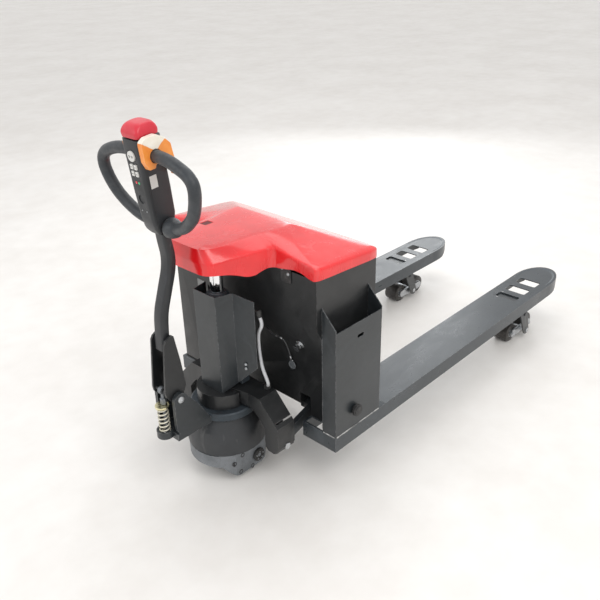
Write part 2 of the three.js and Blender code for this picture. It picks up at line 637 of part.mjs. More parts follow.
// Coil spring with closed ends.
function returnSpring() {
  const turns = 6.5;
  const low = 38.8;
  const high = 121.2;
  const points = Array.from({ length: 79 }, (_, i) => {
    const t = i / 78;
    const a = t * turns * 2 * Math.PI;
    return [SPRING_X + 14.4 * Math.cos(a), 14.4 * Math.sin(a), low + (high - low) * t];
  });
  return sweep(points, circle(2.2, 6), 130);
}
add("return_spring", returnSpring(), FINISH.zinc);
add("spring_washer", cut(rodZ(SPRING_X, 0, 20, 124, 130, 32), rodZ(SPRING_X + 6, 0, 5.6, 120, 134, 16)),
  FINISH.yellowZinc);

function springRod() {
  const stem = rodZ(ROD_EYE.x, 0, 5, 30, ROD_EYE.z - 6, 16);
  const eye = rodY(ROD_EYE.x, ROD_EYE.z, 11, -6, 6);
  return cut(join(stem, rodZ(ROD_EYE.x, 0, 9, 131, 150, 6), eye), rodY(ROD_EYE.x, ROD_EYE.z, 5.6, -10, 10, 16));
}
add("spring_rod", springRod(), FINISH.casting);

// ---- tiller -------------------------------------------------------------------------------
function tillerClevis() {
  const profile = [...arc(PIVOT.x, PIVOT.z, 19, 200, 350, 8), [-262, 177], [-272, 260], [-285, 338], [-292, 344],
    [-312, 332], [-318, 322], [-332, 182], [-330, 166]];
  const plates = [24, -30].map((y) => prismY(profile, y, y + 6));
  const web = prismY([[-272, 262], [-278, 300], [-284, 300], [-278, 262]], -25, 25);
  const cross = prismY([[-266, 186], [-272, 240], [-278, 240], [-272, 186]], -25, 25);
  return cut(
    join(...plates, web, cross, rodY(ROD_EYE.x, ROD_EYE.z, 5, -26, 26, 16)),
    rodY(PIVOT.x, PIVOT.z, 10.5, -40, 40),
  );
}
add("tiller_clevis", tillerClevis(), FINISH.dark);

function tillerArm() {
  const line = [[-302, 296], [-300, 330], [-293, 400], [-274, 460], [-256, 516], [-253, 550], [-258, 590], [-261, 616]];
  const section = rounded([[-17, -13, 5], [17, -13, 5], [17, 13, 5], [-17, 13, 5]], 3);
  const path = line.map(([x, z]) => [x, 0, z]);
  const tube = sweep(path, section, 28);
  const turned = sweep(path, section.map(([u, v]) => [v, u]), 28);
  tube.computeBoundingBox();
  const arm = tube.boundingBox.max.y > 15 ? tube : turned;
  return join(arm, box(-309, -294, -23.5, 23.5, 300, 330));
}
add("tiller_arm", tillerArm(), FINISH.plastic);

// Head pieces are drawn upright about the arm's top (across p, y and up s), then leaned forward.
function onHead(geometry) {
  return geometry.rotateY(-HEAD_TILT).translate(HEAD.x, 0, HEAD.z);
}

// Rounded outline of the head at one height, as a ring.
function headRing(s, front, back, half, radius) {
  const corners = [[front, -half, radius], [back, -half, radius], [back, half, radius], [front, half, radius]];
  return rounded(corners, 4).map(([p, y]) => [p, y, s]);
}

const HORN_S = 224;
const KEYS = [["a", 7.5, 198], ["b", -7.5, 198], ["c", 7.5, 181], ["d", -7.5, 181]];

function headHousing() {
  const body = loft([
    headRing(19, -12, 30, 20, 6), headRing(36, -20, 40, 22, 7), headRing(62, -26, 45, 25, 7),
    headRing(130, -27, 46, 28, 8), headRing(200, -26, 45, 31, 9), headRing(240, -26, 45, 33, 10),
    headRing(262, -24, 44, 34, 11),
  ]);
  const keyWells = KEYS.map(([, y, s]) => box(-34, -21.4, y - 5.4, y + 5.4, s - 6.9, s + 6.9));
  const hornWell = rodX(0, HORN_S, 13.8, -34, -20.4);
  const scoop = rodX(0, 116, 11, -34, -24.6);
  const screws = [-9, 9].map((y) => rodX(y, 85, 3.4, -34, -23.4, 12));
  const socket = box(-9, 21, -17.6, 17.6, 10, 24);
  return onHead(cut(body, ...keyWells, hornWell, scoop, ...screws, socket));
}
add("head_housing", headHousing(), FINISH.plastic);

function bellyButton() {
  return onHead(loft([
    headRing(266, -24, 41, 33, 10), headRing(276, -26, 42, 34, 10), headRing(290, -19, 35, 31, 12),
    headRing(299, -5, 27, 22, 10),
  ]));
}
add("belly_button", bellyButton(), FINISH.redButton);
add("horn_button", onHead(rodX(0, HORN_S, 13, -30, -22.6)), FINISH.white);
for (const [letter, y, s] of KEYS) {
  add(`key_${letter}`, onHead(box(-29.5, -23.6, y - 4.8, y + 4.8, s - 6.2, s + 6.2)), FINISH.white);
}

const GRIP_LINE = [[33.4, 223, 5], [52, 223, 5], [78, 222, 4], [106, 218, 3], [134, 210, 2], [160, 198, 2],
  [175, 182, 1], [178, 162, 0], [173, 139, 0], [164, 117, 1], [150, 94, 3], [131, 75, 5], [108, 57, 8],
  [84, 44, 11], [58, 35, 15], [30, 29, 18]];

for (const [hand, side] of SIDES) {
  const path = GRIP_LINE.map(([y, s, p]) => [p, side * y, s]);
  const flare = [[0, 24.8], [25, 24.8], [27, 32], [24, 46], [17, 62], [0, 62]].map(([r, y]) => [r, side * y]);
  const root = turnedY(side > 0 ? flare : flare.reverse(), 17, 30, 20);
  add(`grip_${hand}`, onHead(join(sweep(path, circle(15.5, 14), 36), root)), FINISH.grip);
}

// Thumb paddle that turns about the root of a grip: a lobe above and in front, and a tail that hangs
// down behind. The left one is thinner and has no lobe in front.
function throttle(side) {
  const front = side > 0 ? [[-14, 205, 4], [-14, 258, 8], [-4, 271, 12]]
    : [[1, 204, 4], [-2, 196, 3], [-20, 196, 4], [-28, 216, 10], [-28, 262, 10], [-13, 271, 14]];
  const outline = rounded([...front, [16, 271, 14], [34, 260, 10], [51, 240, 8], [57, 166, 5], [46, 160, 4],
    [40, 212, 8], [26, 205, 5]], 3);
  const hub = rodY(5, 223, 16.4, ...span(side, 35, 53), 28);
  return onHead(cut(prismY(outline, ...span(side, 36, side > 0 ? 46 : 52)), hub));
}
for (const [hand, side] of SIDES) add(`throttle_${hand}`, throttle(side), FINISH.orange);

export default group;
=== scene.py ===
import json
import math

import bmesh
import bpy
from mathutils import Matrix, Vector, noise


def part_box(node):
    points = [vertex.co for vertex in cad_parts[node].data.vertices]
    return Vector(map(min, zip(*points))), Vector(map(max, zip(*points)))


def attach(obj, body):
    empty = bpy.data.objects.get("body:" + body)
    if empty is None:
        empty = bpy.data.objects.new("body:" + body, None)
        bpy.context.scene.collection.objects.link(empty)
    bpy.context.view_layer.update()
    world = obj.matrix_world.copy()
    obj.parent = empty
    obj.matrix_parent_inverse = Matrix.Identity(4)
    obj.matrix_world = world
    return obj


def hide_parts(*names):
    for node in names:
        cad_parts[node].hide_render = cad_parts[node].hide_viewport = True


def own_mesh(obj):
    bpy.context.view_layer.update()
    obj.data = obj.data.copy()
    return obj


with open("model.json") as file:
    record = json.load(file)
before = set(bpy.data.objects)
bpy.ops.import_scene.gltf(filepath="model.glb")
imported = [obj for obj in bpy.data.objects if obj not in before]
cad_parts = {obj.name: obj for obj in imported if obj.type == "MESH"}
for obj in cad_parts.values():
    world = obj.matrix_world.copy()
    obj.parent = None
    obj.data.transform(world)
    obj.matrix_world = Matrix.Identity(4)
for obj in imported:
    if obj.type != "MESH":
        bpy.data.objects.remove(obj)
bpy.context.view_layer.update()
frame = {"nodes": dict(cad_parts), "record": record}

record = frame["record"]
joints = {j["name"]: j for j in record["behaviour"]["joints"]}
slot_of = {s["node"]: s["material_slot"] for s in record["subparts"]}
body_of = {n: b for b, ns in record["behaviour"]["bodies"].items() for n in ns}

# ---- places ------------------------------------------------------------------------------------
# Datums: the forks' heel plate, the middle of the truck and the raised deck, in millimetres.
FORK_LOW, FORK_HIGH = (Vector(corner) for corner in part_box("fork_left"))
HEEL = FORK_LOW.x
MIDDLE = (FORK_HIGH.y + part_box("fork_right")[0][1]) / 2
DECK = FORK_HIGH.z
# Each fork ends in half an ellipse that starts TIP_LENGTH from its end.
TIP_LENGTH = 0.135
TIP_START = FORK_HIGH.x - TIP_LENGTH
FORK_HALF = (FORK_HIGH.y - FORK_LOW.y) / 2
FORK_LINE = FORK_HIGH.y - MIDDLE - FORK_HALF


def at(x, y, z):
    """A point given in millimetres from the datums."""
    return Vector((HEEL + x / 1000, MIDDLE + y / 1000, DECK + z / 1000))


# The control head leans: p runs from its front to its back and s up its length.
LEAN = Vector(joints["horn_push"]["axis"]).normalized()
RISE = Vector((-LEAN.z, 0, LEAN.x))
HEAD_FOOT = Vector(joints["throttle_turn"]["pos_m"]) - LEAN * 0.005 - RISE * 0.223
HEAD_FOOT.y = MIDDLE


def head(p, y, s):
    """A point on the control head, in millimetres."""
    return HEAD_FOOT + LEAN * (p / 1000) + RISE * (s / 1000) + Vector((0, y / 1000, 0))


# ---- camera and light --------------------------------------------------------------------------
scene = bpy.context.scene
CAMERA_PLACE = at(-1220.2, -1391.9, 1265.2)
CAMERA_AIM = (0.6409, 0.6173, -0.4562)
CAMERA_ROLL = math.radians(1.416)
cam_data = bpy.data.cameras.new("camera")
cam_data.lens = 42.85
cam_data.sensor_width = 36
camera = bpy.data.objects.new("camera", cam_data)
scene.collection.objects.link(camera)
scene.camera = camera
forward = Vector(CAMERA_AIM).normalized()
level = forward.cross(Vector((0, 0, 1))).normalized()
right = (level * math.cos(CAMERA_ROLL) - level.cross(forward) * math.sin(CAMERA_ROLL)).normalized()
up = right.cross(forward)
turn = Matrix((right, up, -forward)).transposed().to_4x4()
camera.matrix_world = Matrix.Translation(CAMERA_PLACE) @ turn
cam_data.clip_end = 60


def area_light(name, place, aim, size, power, colour=(1, 1, 1)):
    """A soft rectangular lamp that shines from place towards aim."""
    data = bpy.data.lights.new(name, "AREA")
    data.shape = "RECTANGLE"
    data.size, data.size_y = size
    data.energy = power
    data.color = colour
    lamp = bpy.data.objects.new(name, data)
    lamp.location = place
    lamp.rotation_mode = "QUATERNION"
    lamp.rotation_quaternion = (Vector(aim) - Vector(place)).to_track_quat("-Z", "Y")
    scene.collection.objects.link(lamp)


area_light("key_light", (-1.2, -2.6, 3.4), (0, 0, 0.4), (2.2, 2.2), 48, (1.0, 0.985, 0.96))
area_light("fill_light", (-3.6, 1.2, 2.2), (-0.2, 0, 0.4), (2.4, 2.0), 22, (0.93, 0.97, 1.0))
area_light("top_light", (0.8, 0.6, 3.8), (0.2, 0, 0.2), (3.0, 2.4), 30)
area_light("rim_light", (2.6, 1.8, 1.6), (0.2, 0, 0.4), (1.4, 1.8), 20, (0.95, 0.98, 1.0))
world = bpy.data.worlds.new("studio")
scene.world = world
world.use_nodes = True
world.node_tree.nodes["Background"].inputs["Color"].default_value = (0.96, 0.955, 0.95, 1)
world.node_tree.nodes["Background"].inputs["Strength"].default_value = 0.9
scene.view_settings.view_transform = "Standard"
scene.view_settings.look = "None"
scene.render.film_transparent = False


# ---- materials ---------------------------------------------------------------------------------
class Nodes:
    """A short way to write a material's node tree."""

    def __init__(self, name):
        self.material = bpy.data.materials.new(name)
        self.material.use_nodes = True
        self.tree = self.material.node_tree
        self.shader = self.tree.nodes["Principled BSDF"]
        self.place = self.node("ShaderNodeTexCoord").outputs["Object"]

    def node(self, kind, **settings):
        made = self.tree.nodes.new(kind)
        for key, value in settings.items():
            setattr(made, key, value)
        return made

    def link(self, value, socket):
        if hasattr(value, "is_output"):
            self.tree.links.new(value, socket)
        else:
            socket.default_value = value

    def math(self, operation, a, b=0.5, clamp=False):
        made = self.node("ShaderNodeMath", operation=operation, use_clamp=clamp)
        self.link(a, made.inputs[0])
        self.link(b, made.inputs[1])
        return made.outputs[0]

    def noise(self, scale, detail=3.0, stretch=(1, 1, 1), roughness=0.55, distortion=0.0):
        mapping = self.node("ShaderNodeMapping")
        mapping.inputs["Scale"].default_value = stretch
        self.tree.links.new(self.place, mapping.inputs["Vector"])
        made = self.node("ShaderNodeTexNoise")
        self.tree.links.new(mapping.outputs[0], made.inputs["Vector"])
        made.inputs["Scale"].default_value = scale
        made.inputs["Detail"].default_value = detail
        made.inputs["Roughness"].default_value = roughness
        made.inputs["Distortion"].default_value = distortion
        return made.outputs["Fac"]

    def ramp(self, value, low, high, out_low=0.0, out_high=1.0):
        made = self.node("ShaderNodeMapRange")
        made.clamp = True
        self.link(value, made.inputs["Value"])
        limits = {"From Min": low, "From Max": high, "To Min": out_low, "To Max": out_high}
        for socket, number in limits.items():
            self.link(number, made.inputs[socket])
        return made.outputs["Result"]

    def mix(self, factor, a, b):
        made = self.node("ShaderNodeMix", data_type="RGBA")
        self.link(factor, made.inputs[0])
        self.link(a, made.inputs[6])
        self.link(b, made.inputs[7])
        return made.outputs[2]

    def edges(self, radius):
        """1 where the surface turns sharply within the radius, 0 on flats."""
        bevel = self.node("ShaderNodeBevel", samples=4)
        bevel.inputs["Radius"].default_value = radius
        geometry = self.node("ShaderNodeNewGeometry")
        dot = self.node("ShaderNodeVectorMath", operation="DOT_PRODUCT")
        self.tree.links.new(bevel.outputs[0], dot.inputs[0])
        self.tree.links.new(geometry.outputs["Normal"], dot.inputs[1])
        return self.ramp(dot.outputs["Value"], 0.995, 0.9)

    def height(self):
        """Height above the floor at rest, in metres."""
        parts = self.node("ShaderNodeSeparateXYZ")
        self.tree.links.new(self.place, parts.inputs[0])
        return parts.outputs["Z"]

    def bump(self, value, strength, distance, before=None):
        made = self.node("ShaderNodeBump")
        made.inputs["Strength"].default_value = strength
        made.inputs["Distance"].default_value = distance
        self.link(value, made.inputs["Height"])
        if before is not None:
            self.tree.links.new(before, made.inputs["Normal"])
        return made.outputs["Normal"]

    def out(self, colour, rough, metallic=0.0, normal=None, coat=0.0, coat_rough=0.1, sheen=0.0):
        self.link(colour, self.shader.inputs["Base Color"])
        self.link(rough, self.shader.inputs["Roughness"])
        self.link(metallic, self.shader.inputs["Metallic"])
        self.shader.inputs["IOR"].default_value = 1.5
        self.shader.inputs["Coat Weight"].default_value = coat
        self.shader.inputs["Coat Roughness"].default_value = coat_rough
        self.shader.inputs["Sheen Weight"].default_value = sheen
        if normal is not None:
            self.tree.links.new(normal, self.shader.inputs["Normal"])
        return self.material


def rgba(r, g, b):
    return (r, g, b, 1)


def shade(colour, gain, lift=0.0):
    """The same colour, scaled by gain and lifted towards white."""
    return rgba(*[min(1, c * gain + lift) for c in colour[:3]])


def paint(name, dark, light, bare, rough=0.38, wear=1.0, peel=0.25, smudge=0.35, scratch=0.5, coat=0.15,
          ridge=None):
    """Baked paint over steel: clouded tone, handling smudges, fine scratches, rubbed edges."""
    n = Nodes(name)
    cloud = n.noise(5.0, 4.0)
    fine = n.noise(60.0, 3.0)
    tone = n.math("ADD", n.math("MULTIPLY", cloud, 0.75), n.math("MULTIPLY", fine, 0.25))
    colour = n.mix(n.ramp(tone, 0.35, 0.65), dark, light)
    smear = n.noise(14.0, 5.0, (0.5, 1.4, 1.0), 0.65, 1.2)
    dusty = n.math("MULTIPLY", n.ramp(smear, 0.52, 0.72), smudge * 0.5)
    colour = n.mix(dusty, colour, shade(light, 1.9, 0.05))
    lines = n.noise(38.0, 6.0, (0.12, 1.0, 2.2), 0.75, 0.6)
    scored = n.math("MULTIPLY", n.ramp(lines, 0.685, 0.72), scratch)
    edge = n.math("MULTIPLY", n.edges(0.0022), n.ramp(n.noise(90.0, 5.0), 0.42, 0.66))
    rubbed = n.math("MULTIPLY", edge, wear, clamp=True)
    worn = n.math("MAXIMUM", n.math("MULTIPLY", scored, 0.45), n.math("MULTIPLY", rubbed, 0.75))
    colour = n.mix(worn, colour, bare)
    ground = n.ramp(n.math("ADD", n.height(), n.math("MULTIPLY", cloud, 0.12)), 0.05, 0.2, 0.22, 0.0)
    colour = n.mix(ground, colour, rgba(0.30, 0.29, 0.27))
    roughness = n.math("ADD", n.ramp(smear, 0.35, 0.75, rough - 0.06, rough + 0.16),
                       n.math("MULTIPLY", worn, -0.05), clamp=True)
    skin = n.bump(n.noise(420.0, 2.0), peel, 0.0006)
    skin = n.bump(n.math("SUBTRACT", 1.0, worn), 0.25, 0.0004, skin)
    # The ridge's crest band is painted paler: a painted highlight along the ridge.
    if ridge:
        step, line = ridge(n)
        skin = n.bump(step, 0.8, 0.002, skin)
        colour = n.mix(n.math("MULTIPLY", line, 0.5), colour, shade(light, 2.4, 0.03))
    return n.out(colour, roughness, n.math("MULTIPLY", worn, 0.6), skin, coat, 0.22)


def plastic(name, dark, light, rough=0.45, grain=0.35, pitch=900.0, gloss=0.0, shine=0.1, edge_light=0.25):
    """Moulded plastic: even colour with slow clouding, fine texture, paler polished edges."""
    n = Nodes(name)
    cloud = n.noise(7.0, 3.0)
    colour = n.mix(n.ramp(cloud, 0.35, 0.65), dark, light)
    pale = shade(light, 1.6, 0.03)
    touched = n.math("MULTIPLY", n.edges(0.0016), n.ramp(n.noise(55.0, 4.0), 0.35, 0.7, 0.1, 1.0))
    colour = n.mix(n.math("MULTIPLY", touched, edge_light), colour, pale)
    haze = n.noise(22.0, 4.0, (1, 1, 0.4), 0.6, 0.8)
    colour = n.mix(n.ramp(haze, 0.6, 0.8, 0.0, 0.10), colour, rgba(0.75, 0.74, 0.72))
    roughness = n.ramp(haze, 0.3, 0.75, rough - 0.05, rough + 0.09)
    skin = n.bump(n.noise(pitch, 2.0), grain, 0.0004)
    skin = n.bump(n.noise(9.0, 2.0), 0.12, 0.004, skin)
    return n.out(colour, roughness, 0.0, skin, gloss, shine)


def metal(name, dark, light, rough=0.3, brush=(1, 1, 1), pitch=160.0, pits=0.2, grime=0.25, metallic=1.0):
    """Bare or plated metal: drawn grain, tarnish, patches of dirt."""
    n = Nodes(name)
    cloud = n.noise(16.0, 4.0)
    grain = n.noise(pitch, 4.0, brush, 0.7)
    tone = n.math("ADD", n.math("MULTIPLY", cloud, 0.6), n.math("MULTIPLY", grain, 0.4))
    colour = n.mix(n.ramp(tone, 0.36, 0.64), dark, light)
    stain = n.noise(34.0, 5.0, (1, 1, 1), 0.7, 0.8)
    dirt = n.math("MULTIPLY", n.ramp(stain, 0.54, 0.74), grime)
    colour = n.mix(dirt, colour, rgba(0.10, 0.09, 0.08))
    bright = n.math("MULTIPLY", n.edges(0.0012), 0.35)
    colour = n.mix(bright, colour, shade(light, 1.25, 0.08))
    roughness = n.math("ADD", n.ramp(grain, 0.3, 0.7, rough - 0.06, rough + 0.08),
                       n.math("MULTIPLY", dirt, 0.3), clamp=True)
    skin = n.bump(grain, pits, 0.0003)
    return n.out(colour, roughness, n.math("SUBTRACT", metallic, dirt, clamp=True), skin)


def casting(name, dark, light, rough=0.48, metallic=0.55, grit=0.7):
    """Sand-cast surface: coarse pebbled skin, oily stains, rubbed ridges."""
    n = Nodes(name)
    cloud = n.noise(11.0, 4.0)
    colour = n.mix(n.ramp(cloud, 0.35, 0.65), dark, light)
    spots = n.noise(130.0, 4.0, (1, 1, 1), 0.75)
    colour = n.mix(n.ramp(spots, 0.58, 0.72, 0.0, 0.35), colour, shade(dark, 0.45))
    edge = n.math("MULTIPLY", n.edges(0.003), n.ramp(n.noise(70.0, 4.0), 0.35, 0.65, 0.2, 1.0))
    colour = n.mix(n.math("MULTIPLY", edge, 0.6), colour, shade(light, 1.45, 0.1))
    oil = n.ramp(n.noise(19.0, 5.0, (1, 1, 0.35), 0.6, 0.9), 0.56, 0.78)
    colour = n.mix(n.math("MULTIPLY", oil, 0.4), colour, rgba(0.05, 0.045, 0.04))
    roughness = n.math("ADD", n.ramp(spots, 0.3, 0.7, rough - 0.08, rough + 0.12),
                       n.math("MULTIPLY", oil, -0.12), clamp=True)
    skin = n.bump(n.noise(240.0, 3.0), grit, 0.0012)
    return n.out(colour, roughness, metallic, skin)


def rubber(name, dark, light, rough=0.62, pitch=500.0, grain=0.5, dust=0.3):
    """Rubber or polyurethane: matt, with a bloom of dust and small nicks."""
    n = Nodes(name)
    cloud = n.noise(13.0, 4.0)
    colour = n.mix(n.ramp(cloud, 0.35, 0.65), dark, light)
    powder = n.math("MULTIPLY", n.ramp(n.noise(46.0, 5.0, (1, 1, 1), 0.7), 0.48, 0.76), dust)
    colour = n.mix(powder, colour, rgba(0.42, 0.40, 0.37))
    edge = n.math("MULTIPLY", n.edges(0.0015), 0.2)
    colour = n.mix(edge, colour, shade(light, 2.0, 0.05))
    roughness = n.ramp(n.noise(90.0, 4.0), 0.3, 0.7, rough - 0.08, rough + 0.12)
    skin = n.bump(n.noise(pitch, 3.0), grain, 0.0006)
    return n.out(colour, roughness, 0.0, skin, sheen=0.08)


def inner_ridge(n):
    """A pressed ridge that follows each fork's round tip, and the dished area inside it."""
    parts = n.node("ShaderNodeSeparateXYZ")
    n.tree.links.new(n.place, parts.inputs[0])
    off_middle = n.math("ABSOLUTE", n.math("SUBTRACT", parts.outputs["Y"], MIDDLE))
    across = n.math("SUBTRACT", off_middle, FORK_LINE)
    along = n.math("SUBTRACT", parts.outputs["X"], TIP_START)
    ahead = n.math("MAXIMUM", along, -0.02)
    along_share = n.math("POWER", n.math("DIVIDE", ahead, TIP_LENGTH), 2.0)
    across_share = n.math("POWER", n.math("DIVIDE", across, FORK_HALF), 2.0)
    reach = n.math("SQRT", n.math("ADD", along_share, across_share))
    rise = n.ramp(reach, 0.80, 0.90)
    shown = n.ramp(along, -0.03, 0.02)
    # The band along the crest, which paint() paints paler as a highlight.
    line = n.math("MULTIPLY", n.ramp(reach, 0.78, 0.84), n.ramp(reach, 0.93, 0.87))
    return n.math("MULTIPLY", rise, shown), n.math("MULTIPLY", line, shown)


def paddle_plastic():
    """Orange paddle with a painted highlight in cream over its upper faces, down to a shallow V."""
    n = Nodes("orange_plastic")

    def along(axis, start):
        made = n.node("ShaderNodeVectorMath", operation="DOT_PRODUCT")
        n.tree.links.new(n.place, made.inputs[0])
        made.inputs[1].default_value = axis
        return n.math("SUBTRACT", made.outputs["Value"], start)

    p = along(LEAN, HEAD_FOOT.dot(LEAN))
    s = along(RISE, HEAD_FOOT.dot(RISE))
    # The cream above this V line is a painted highlight on the paddle's upper faces, not a second colour.
    valley = n.math("MULTIPLY", n.math("ABSOLUTE", n.math("SUBTRACT", p, 0.008)), 0.75)
    line = n.math("SUBTRACT", n.math("SUBTRACT", s, 0.234), valley)
    line = n.math("ADD", line, n.math("MULTIPLY", n.math("SUBTRACT", n.noise(60.0, 3.0), 0.5), 0.008))
    cream = n.ramp(line, -0.0008, 0.0010)
    orange = n.mix(n.ramp(n.noise(24.0, 3.0), 0.35, 0.65), rgba(0.80, 0.22, 0.028), rgba(0.90, 0.33, 0.06))
    pale = n.mix(n.ramp(n.noise(30.0, 3.0), 0.35, 0.65), rgba(0.80, 0.74, 0.62), rgba(0.90, 0.86, 0.77))
    colour = n.mix(cream, orange, pale)
    touched = n.math("MULTIPLY", n.edges(0.0016), 0.3)
    colour = n.mix(touched, colour, rgba(0.95, 0.85, 0.7))
    rough = n.ramp(n.noise(22.0, 4.0), 0.3, 0.75, 0.30, 0.44)
    return n.out(colour, rough, 0.0, n.bump(n.noise(700.0, 2.0), 0.12, 0.0004), 0.2, 0.12)


# The paddle's material, with a painted highlight over its top.
highlit_paddle = paddle_plastic()
# The forks wear the frame paint made lighter and bluer: painted light on their upper faces, over the paint's
# real smudges and wear.
lit_fork_paint = paint("lit_fork_paint", rgba(0.024, 0.031, 0.037), rgba(0.038, 0.047, 0.055), rgba(0.42, 0.43, 0.44),
                   rough=0.32, wear=0.9, scratch=0.45, smudge=0.5, ridge=inner_ridge)
FINISH = {
    "frame_paint": paint("frame_paint", rgba(0.016, 0.020, 0.023), rgba(0.027, 0.032, 0.036),
                         rgba(0.40, 0.41, 0.42), rough=0.34, wear=0.8, scratch=0.35),
    "housing_paint": paint("housing_paint", rgba(0.009, 0.010, 0.011), rgba(0.017, 0.018, 0.019),
                           rgba(0.34, 0.34, 0.34), rough=0.38, wear=0.5, scratch=0.2, smudge=0.25),
    "cover_red": plastic("cover_red", rgba(0.68, 0.006, 0.010), rgba(0.86, 0.012, 0.016), rough=0.24,
                         grain=0.05, pitch=700.0, gloss=0.7, shine=0.07, edge_light=0.35),
    "fork_deck": lit_fork_paint,
    "chrome": metal("chrome", rgba(0.78, 0.80, 0.82), rgba(0.93, 0.94, 0.95), rough=0.10,
                    brush=(1, 1, 8), grime=0.08, pits=0.05),
    "zinc": metal("zinc", rgba(0.44, 0.46, 0.48), rgba(0.66, 0.68, 0.70), rough=0.30,
                  brush=(0.3, 1, 1), grime=0.35),
    "yellow_zinc": metal("yellow_zinc", rgba(0.62, 0.56, 0.33), rgba(0.82, 0.77, 0.52), rough=0.28,
                         grime=0.15),
    "casting": casting("casting", rgba(0.155, 0.168, 0.180), rgba(0.25, 0.265, 0.285)),
    "blue_casting": casting("blue_casting", rgba(0.034, 0.044, 0.054), rgba(0.058, 0.073, 0.087),
                            metallic=0.35),
    "dark_plastic": plastic("dark_plastic", rgba(0.019, 0.0205, 0.023), rgba(0.032, 0.035, 0.039),
                            rough=0.40),
    "grip_rubber": rubber("grip_rubber", rgba(0.020, 0.024, 0.029), rgba(0.034, 0.040, 0.047),
                          rough=0.44, dust=0.06, grain=0.3),
    "black_rubber": rubber("black_rubber", rgba(0.010, 0.010, 0.011), rgba(0.020, 0.020, 0.021), dust=0.15),
    "roller_tyre": rubber("roller_tyre", rgba(0.014, 0.012, 0.011), rgba(0.032, 0.028, 0.025),
                          rough=0.40, dust=0.14),
    "drive_tyre": rubber("drive_tyre", rgba(0.010, 0.010, 0.011), rgba(0.022, 0.022, 0.023),
                         rough=0.6, dust=0.25),
    "white_plastic": plastic("white_plastic", rgba(0.62, 0.615, 0.59), rgba(0.74, 0.735, 0.71),
                             rough=0.4, grain=0.15),
    "orange_plastic": highlit_paddle,
    "button_red": plastic("button_red", rgba(0.50, 0.010, 0.026), rgba(0.66, 0.022, 0.045),
                          rough=0.34, grain=0.15, gloss=0.25),
    "battery_case": plastic("battery_case", rgba(0.012, 0.018, 0.026), rgba(0.022, 0.032, 0.045), rough=0.5),
    "cable": plastic("cable", rgba(0.42, 0.43, 0.45), rgba(0.56, 0.57, 0.59), rough=0.42, grain=0.3,
                     gloss=0.1),
}


# ---- pieces ------------------------------------------------------------------------------------
def new_object(name, mesh):
    piece = bpy.data.objects.new(name, mesh)
    scene.collection.objects.link(piece)
    return piece


def smooth(mesh, degrees=34):
    mesh.shade_smooth()
    mesh.set_sharp_from_angle(angle=math.radians(degrees))


def bevel(piece, width, segments=2, degrees=30):
    """Rounds the edges that turn by more than an angle."""
    made = piece.modifiers.new("edges", "BEVEL")
    made.width = width
    made.segments = segments
    made.limit_method = "ANGLE"
    made.angle_limit = math.radians(degrees)
    made.use_clamp_overlap = True
    made.harden_normals = True
    made.miter_outer = "MITER_ARC"


def settle(piece, body, slot, material=None):
    """Gives a piece its finish, taken by its slot unless one is given, and the body that it rides on."""
    piece.data.materials.clear()
    piece.data.materials.append(material or FINISH[slot])
    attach(piece, body)
    return piece


def dress(node, width=0.0012, segments=2, material=None, degrees=34, name=None):
    """A finished copy of a CAD node: flat faces merged, edges rounded, normals smoothed."""
    mesh = frame["nodes"][node].data.copy()
    bm = bmesh.new()
    bm.from_mesh(mesh)
    bmesh.ops.remove_doubles(bm, verts=bm.verts, dist=2e-6)
    bmesh.ops.dissolve_limit(bm, angle_limit=math.radians(0.6), verts=bm.verts, edges=bm.edges)
    bm.to_mesh(mesh)
    bm.free()
    piece = new_object((name or node) + "_finished", mesh)
    smooth(mesh, degrees)
    if width:
        bevel(piece, width, segments)
    settle(piece, body_of[node], slot_of[node], material)
    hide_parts(node)
    return piece


def axes(axis):
    """A direction and two more at right angles to it."""
    axis = Vector(axis).normalized()
    side = axis.cross(Vector((0, 0, 1)) if abs(axis.z) < 0.9 else Vector((1, 0, 0))).normalized()
    return axis, side, axis.cross(side)


def lathe(name, origin, axis, profile, steps=40, degrees=34):
    """A turned piece: profile of (radius, distance along the axis) in millimetres, open at the axis."""
    axis, side, over = axes(axis)
    bm = bmesh.new()
    rings = []
    for r, h in profile:
        centre = Vector(origin) + axis * (h / 1000)
        if r < 1e-6:
            rings.append([bm.verts.new(centre)])
            continue
        rings.append([bm.verts.new(centre + (side * math.cos(2 * math.pi * i / steps)
                                             + over * math.sin(2 * math.pi * i / steps)) * (r / 1000))
                      for i in range(steps)])
    for low, high in zip(rings, rings[1:]):
        for i in range(steps):
            j = (i + 1) % steps
            corners = [low[i % len(low)], low[j % len(low)], high[j % len(high)], high[i % len(high)]]
            bm.faces.new(list(dict.fromkeys(corners)))
    bmesh.ops.recalc_face_normals(bm, faces=bm.faces)
    mesh = bpy.data.meshes.new(name)
    bm.to_mesh(mesh)
    bm.free()
    smooth(mesh, degrees)
    return new_object(name, mesh)


def skin(name, rings, capped=True, degrees=34):
    """A surface through closed rings of points, all with the same count."""
    bm = bmesh.new()
    rows = [[bm.verts.new(p) for p in ring] for ring in rings]
    count = len(rows[0])
    for low, high in zip(rows, rows[1:]):
        for i in range(count):
            j = (i + 1) % count
            bm.faces.new((low[i], low[j], high[j], high[i]))
    if capped:
        bm.faces.new(rows[0])
        bm.faces.new(rows[-1])
    bmesh.ops.recalc_face_normals(bm, faces=bm.faces)
    mesh = bpy.data.meshes.new(name)
    bm.to_mesh(mesh)
    bm.free()
    smooth(mesh, degrees)
    return new_object(name, mesh)


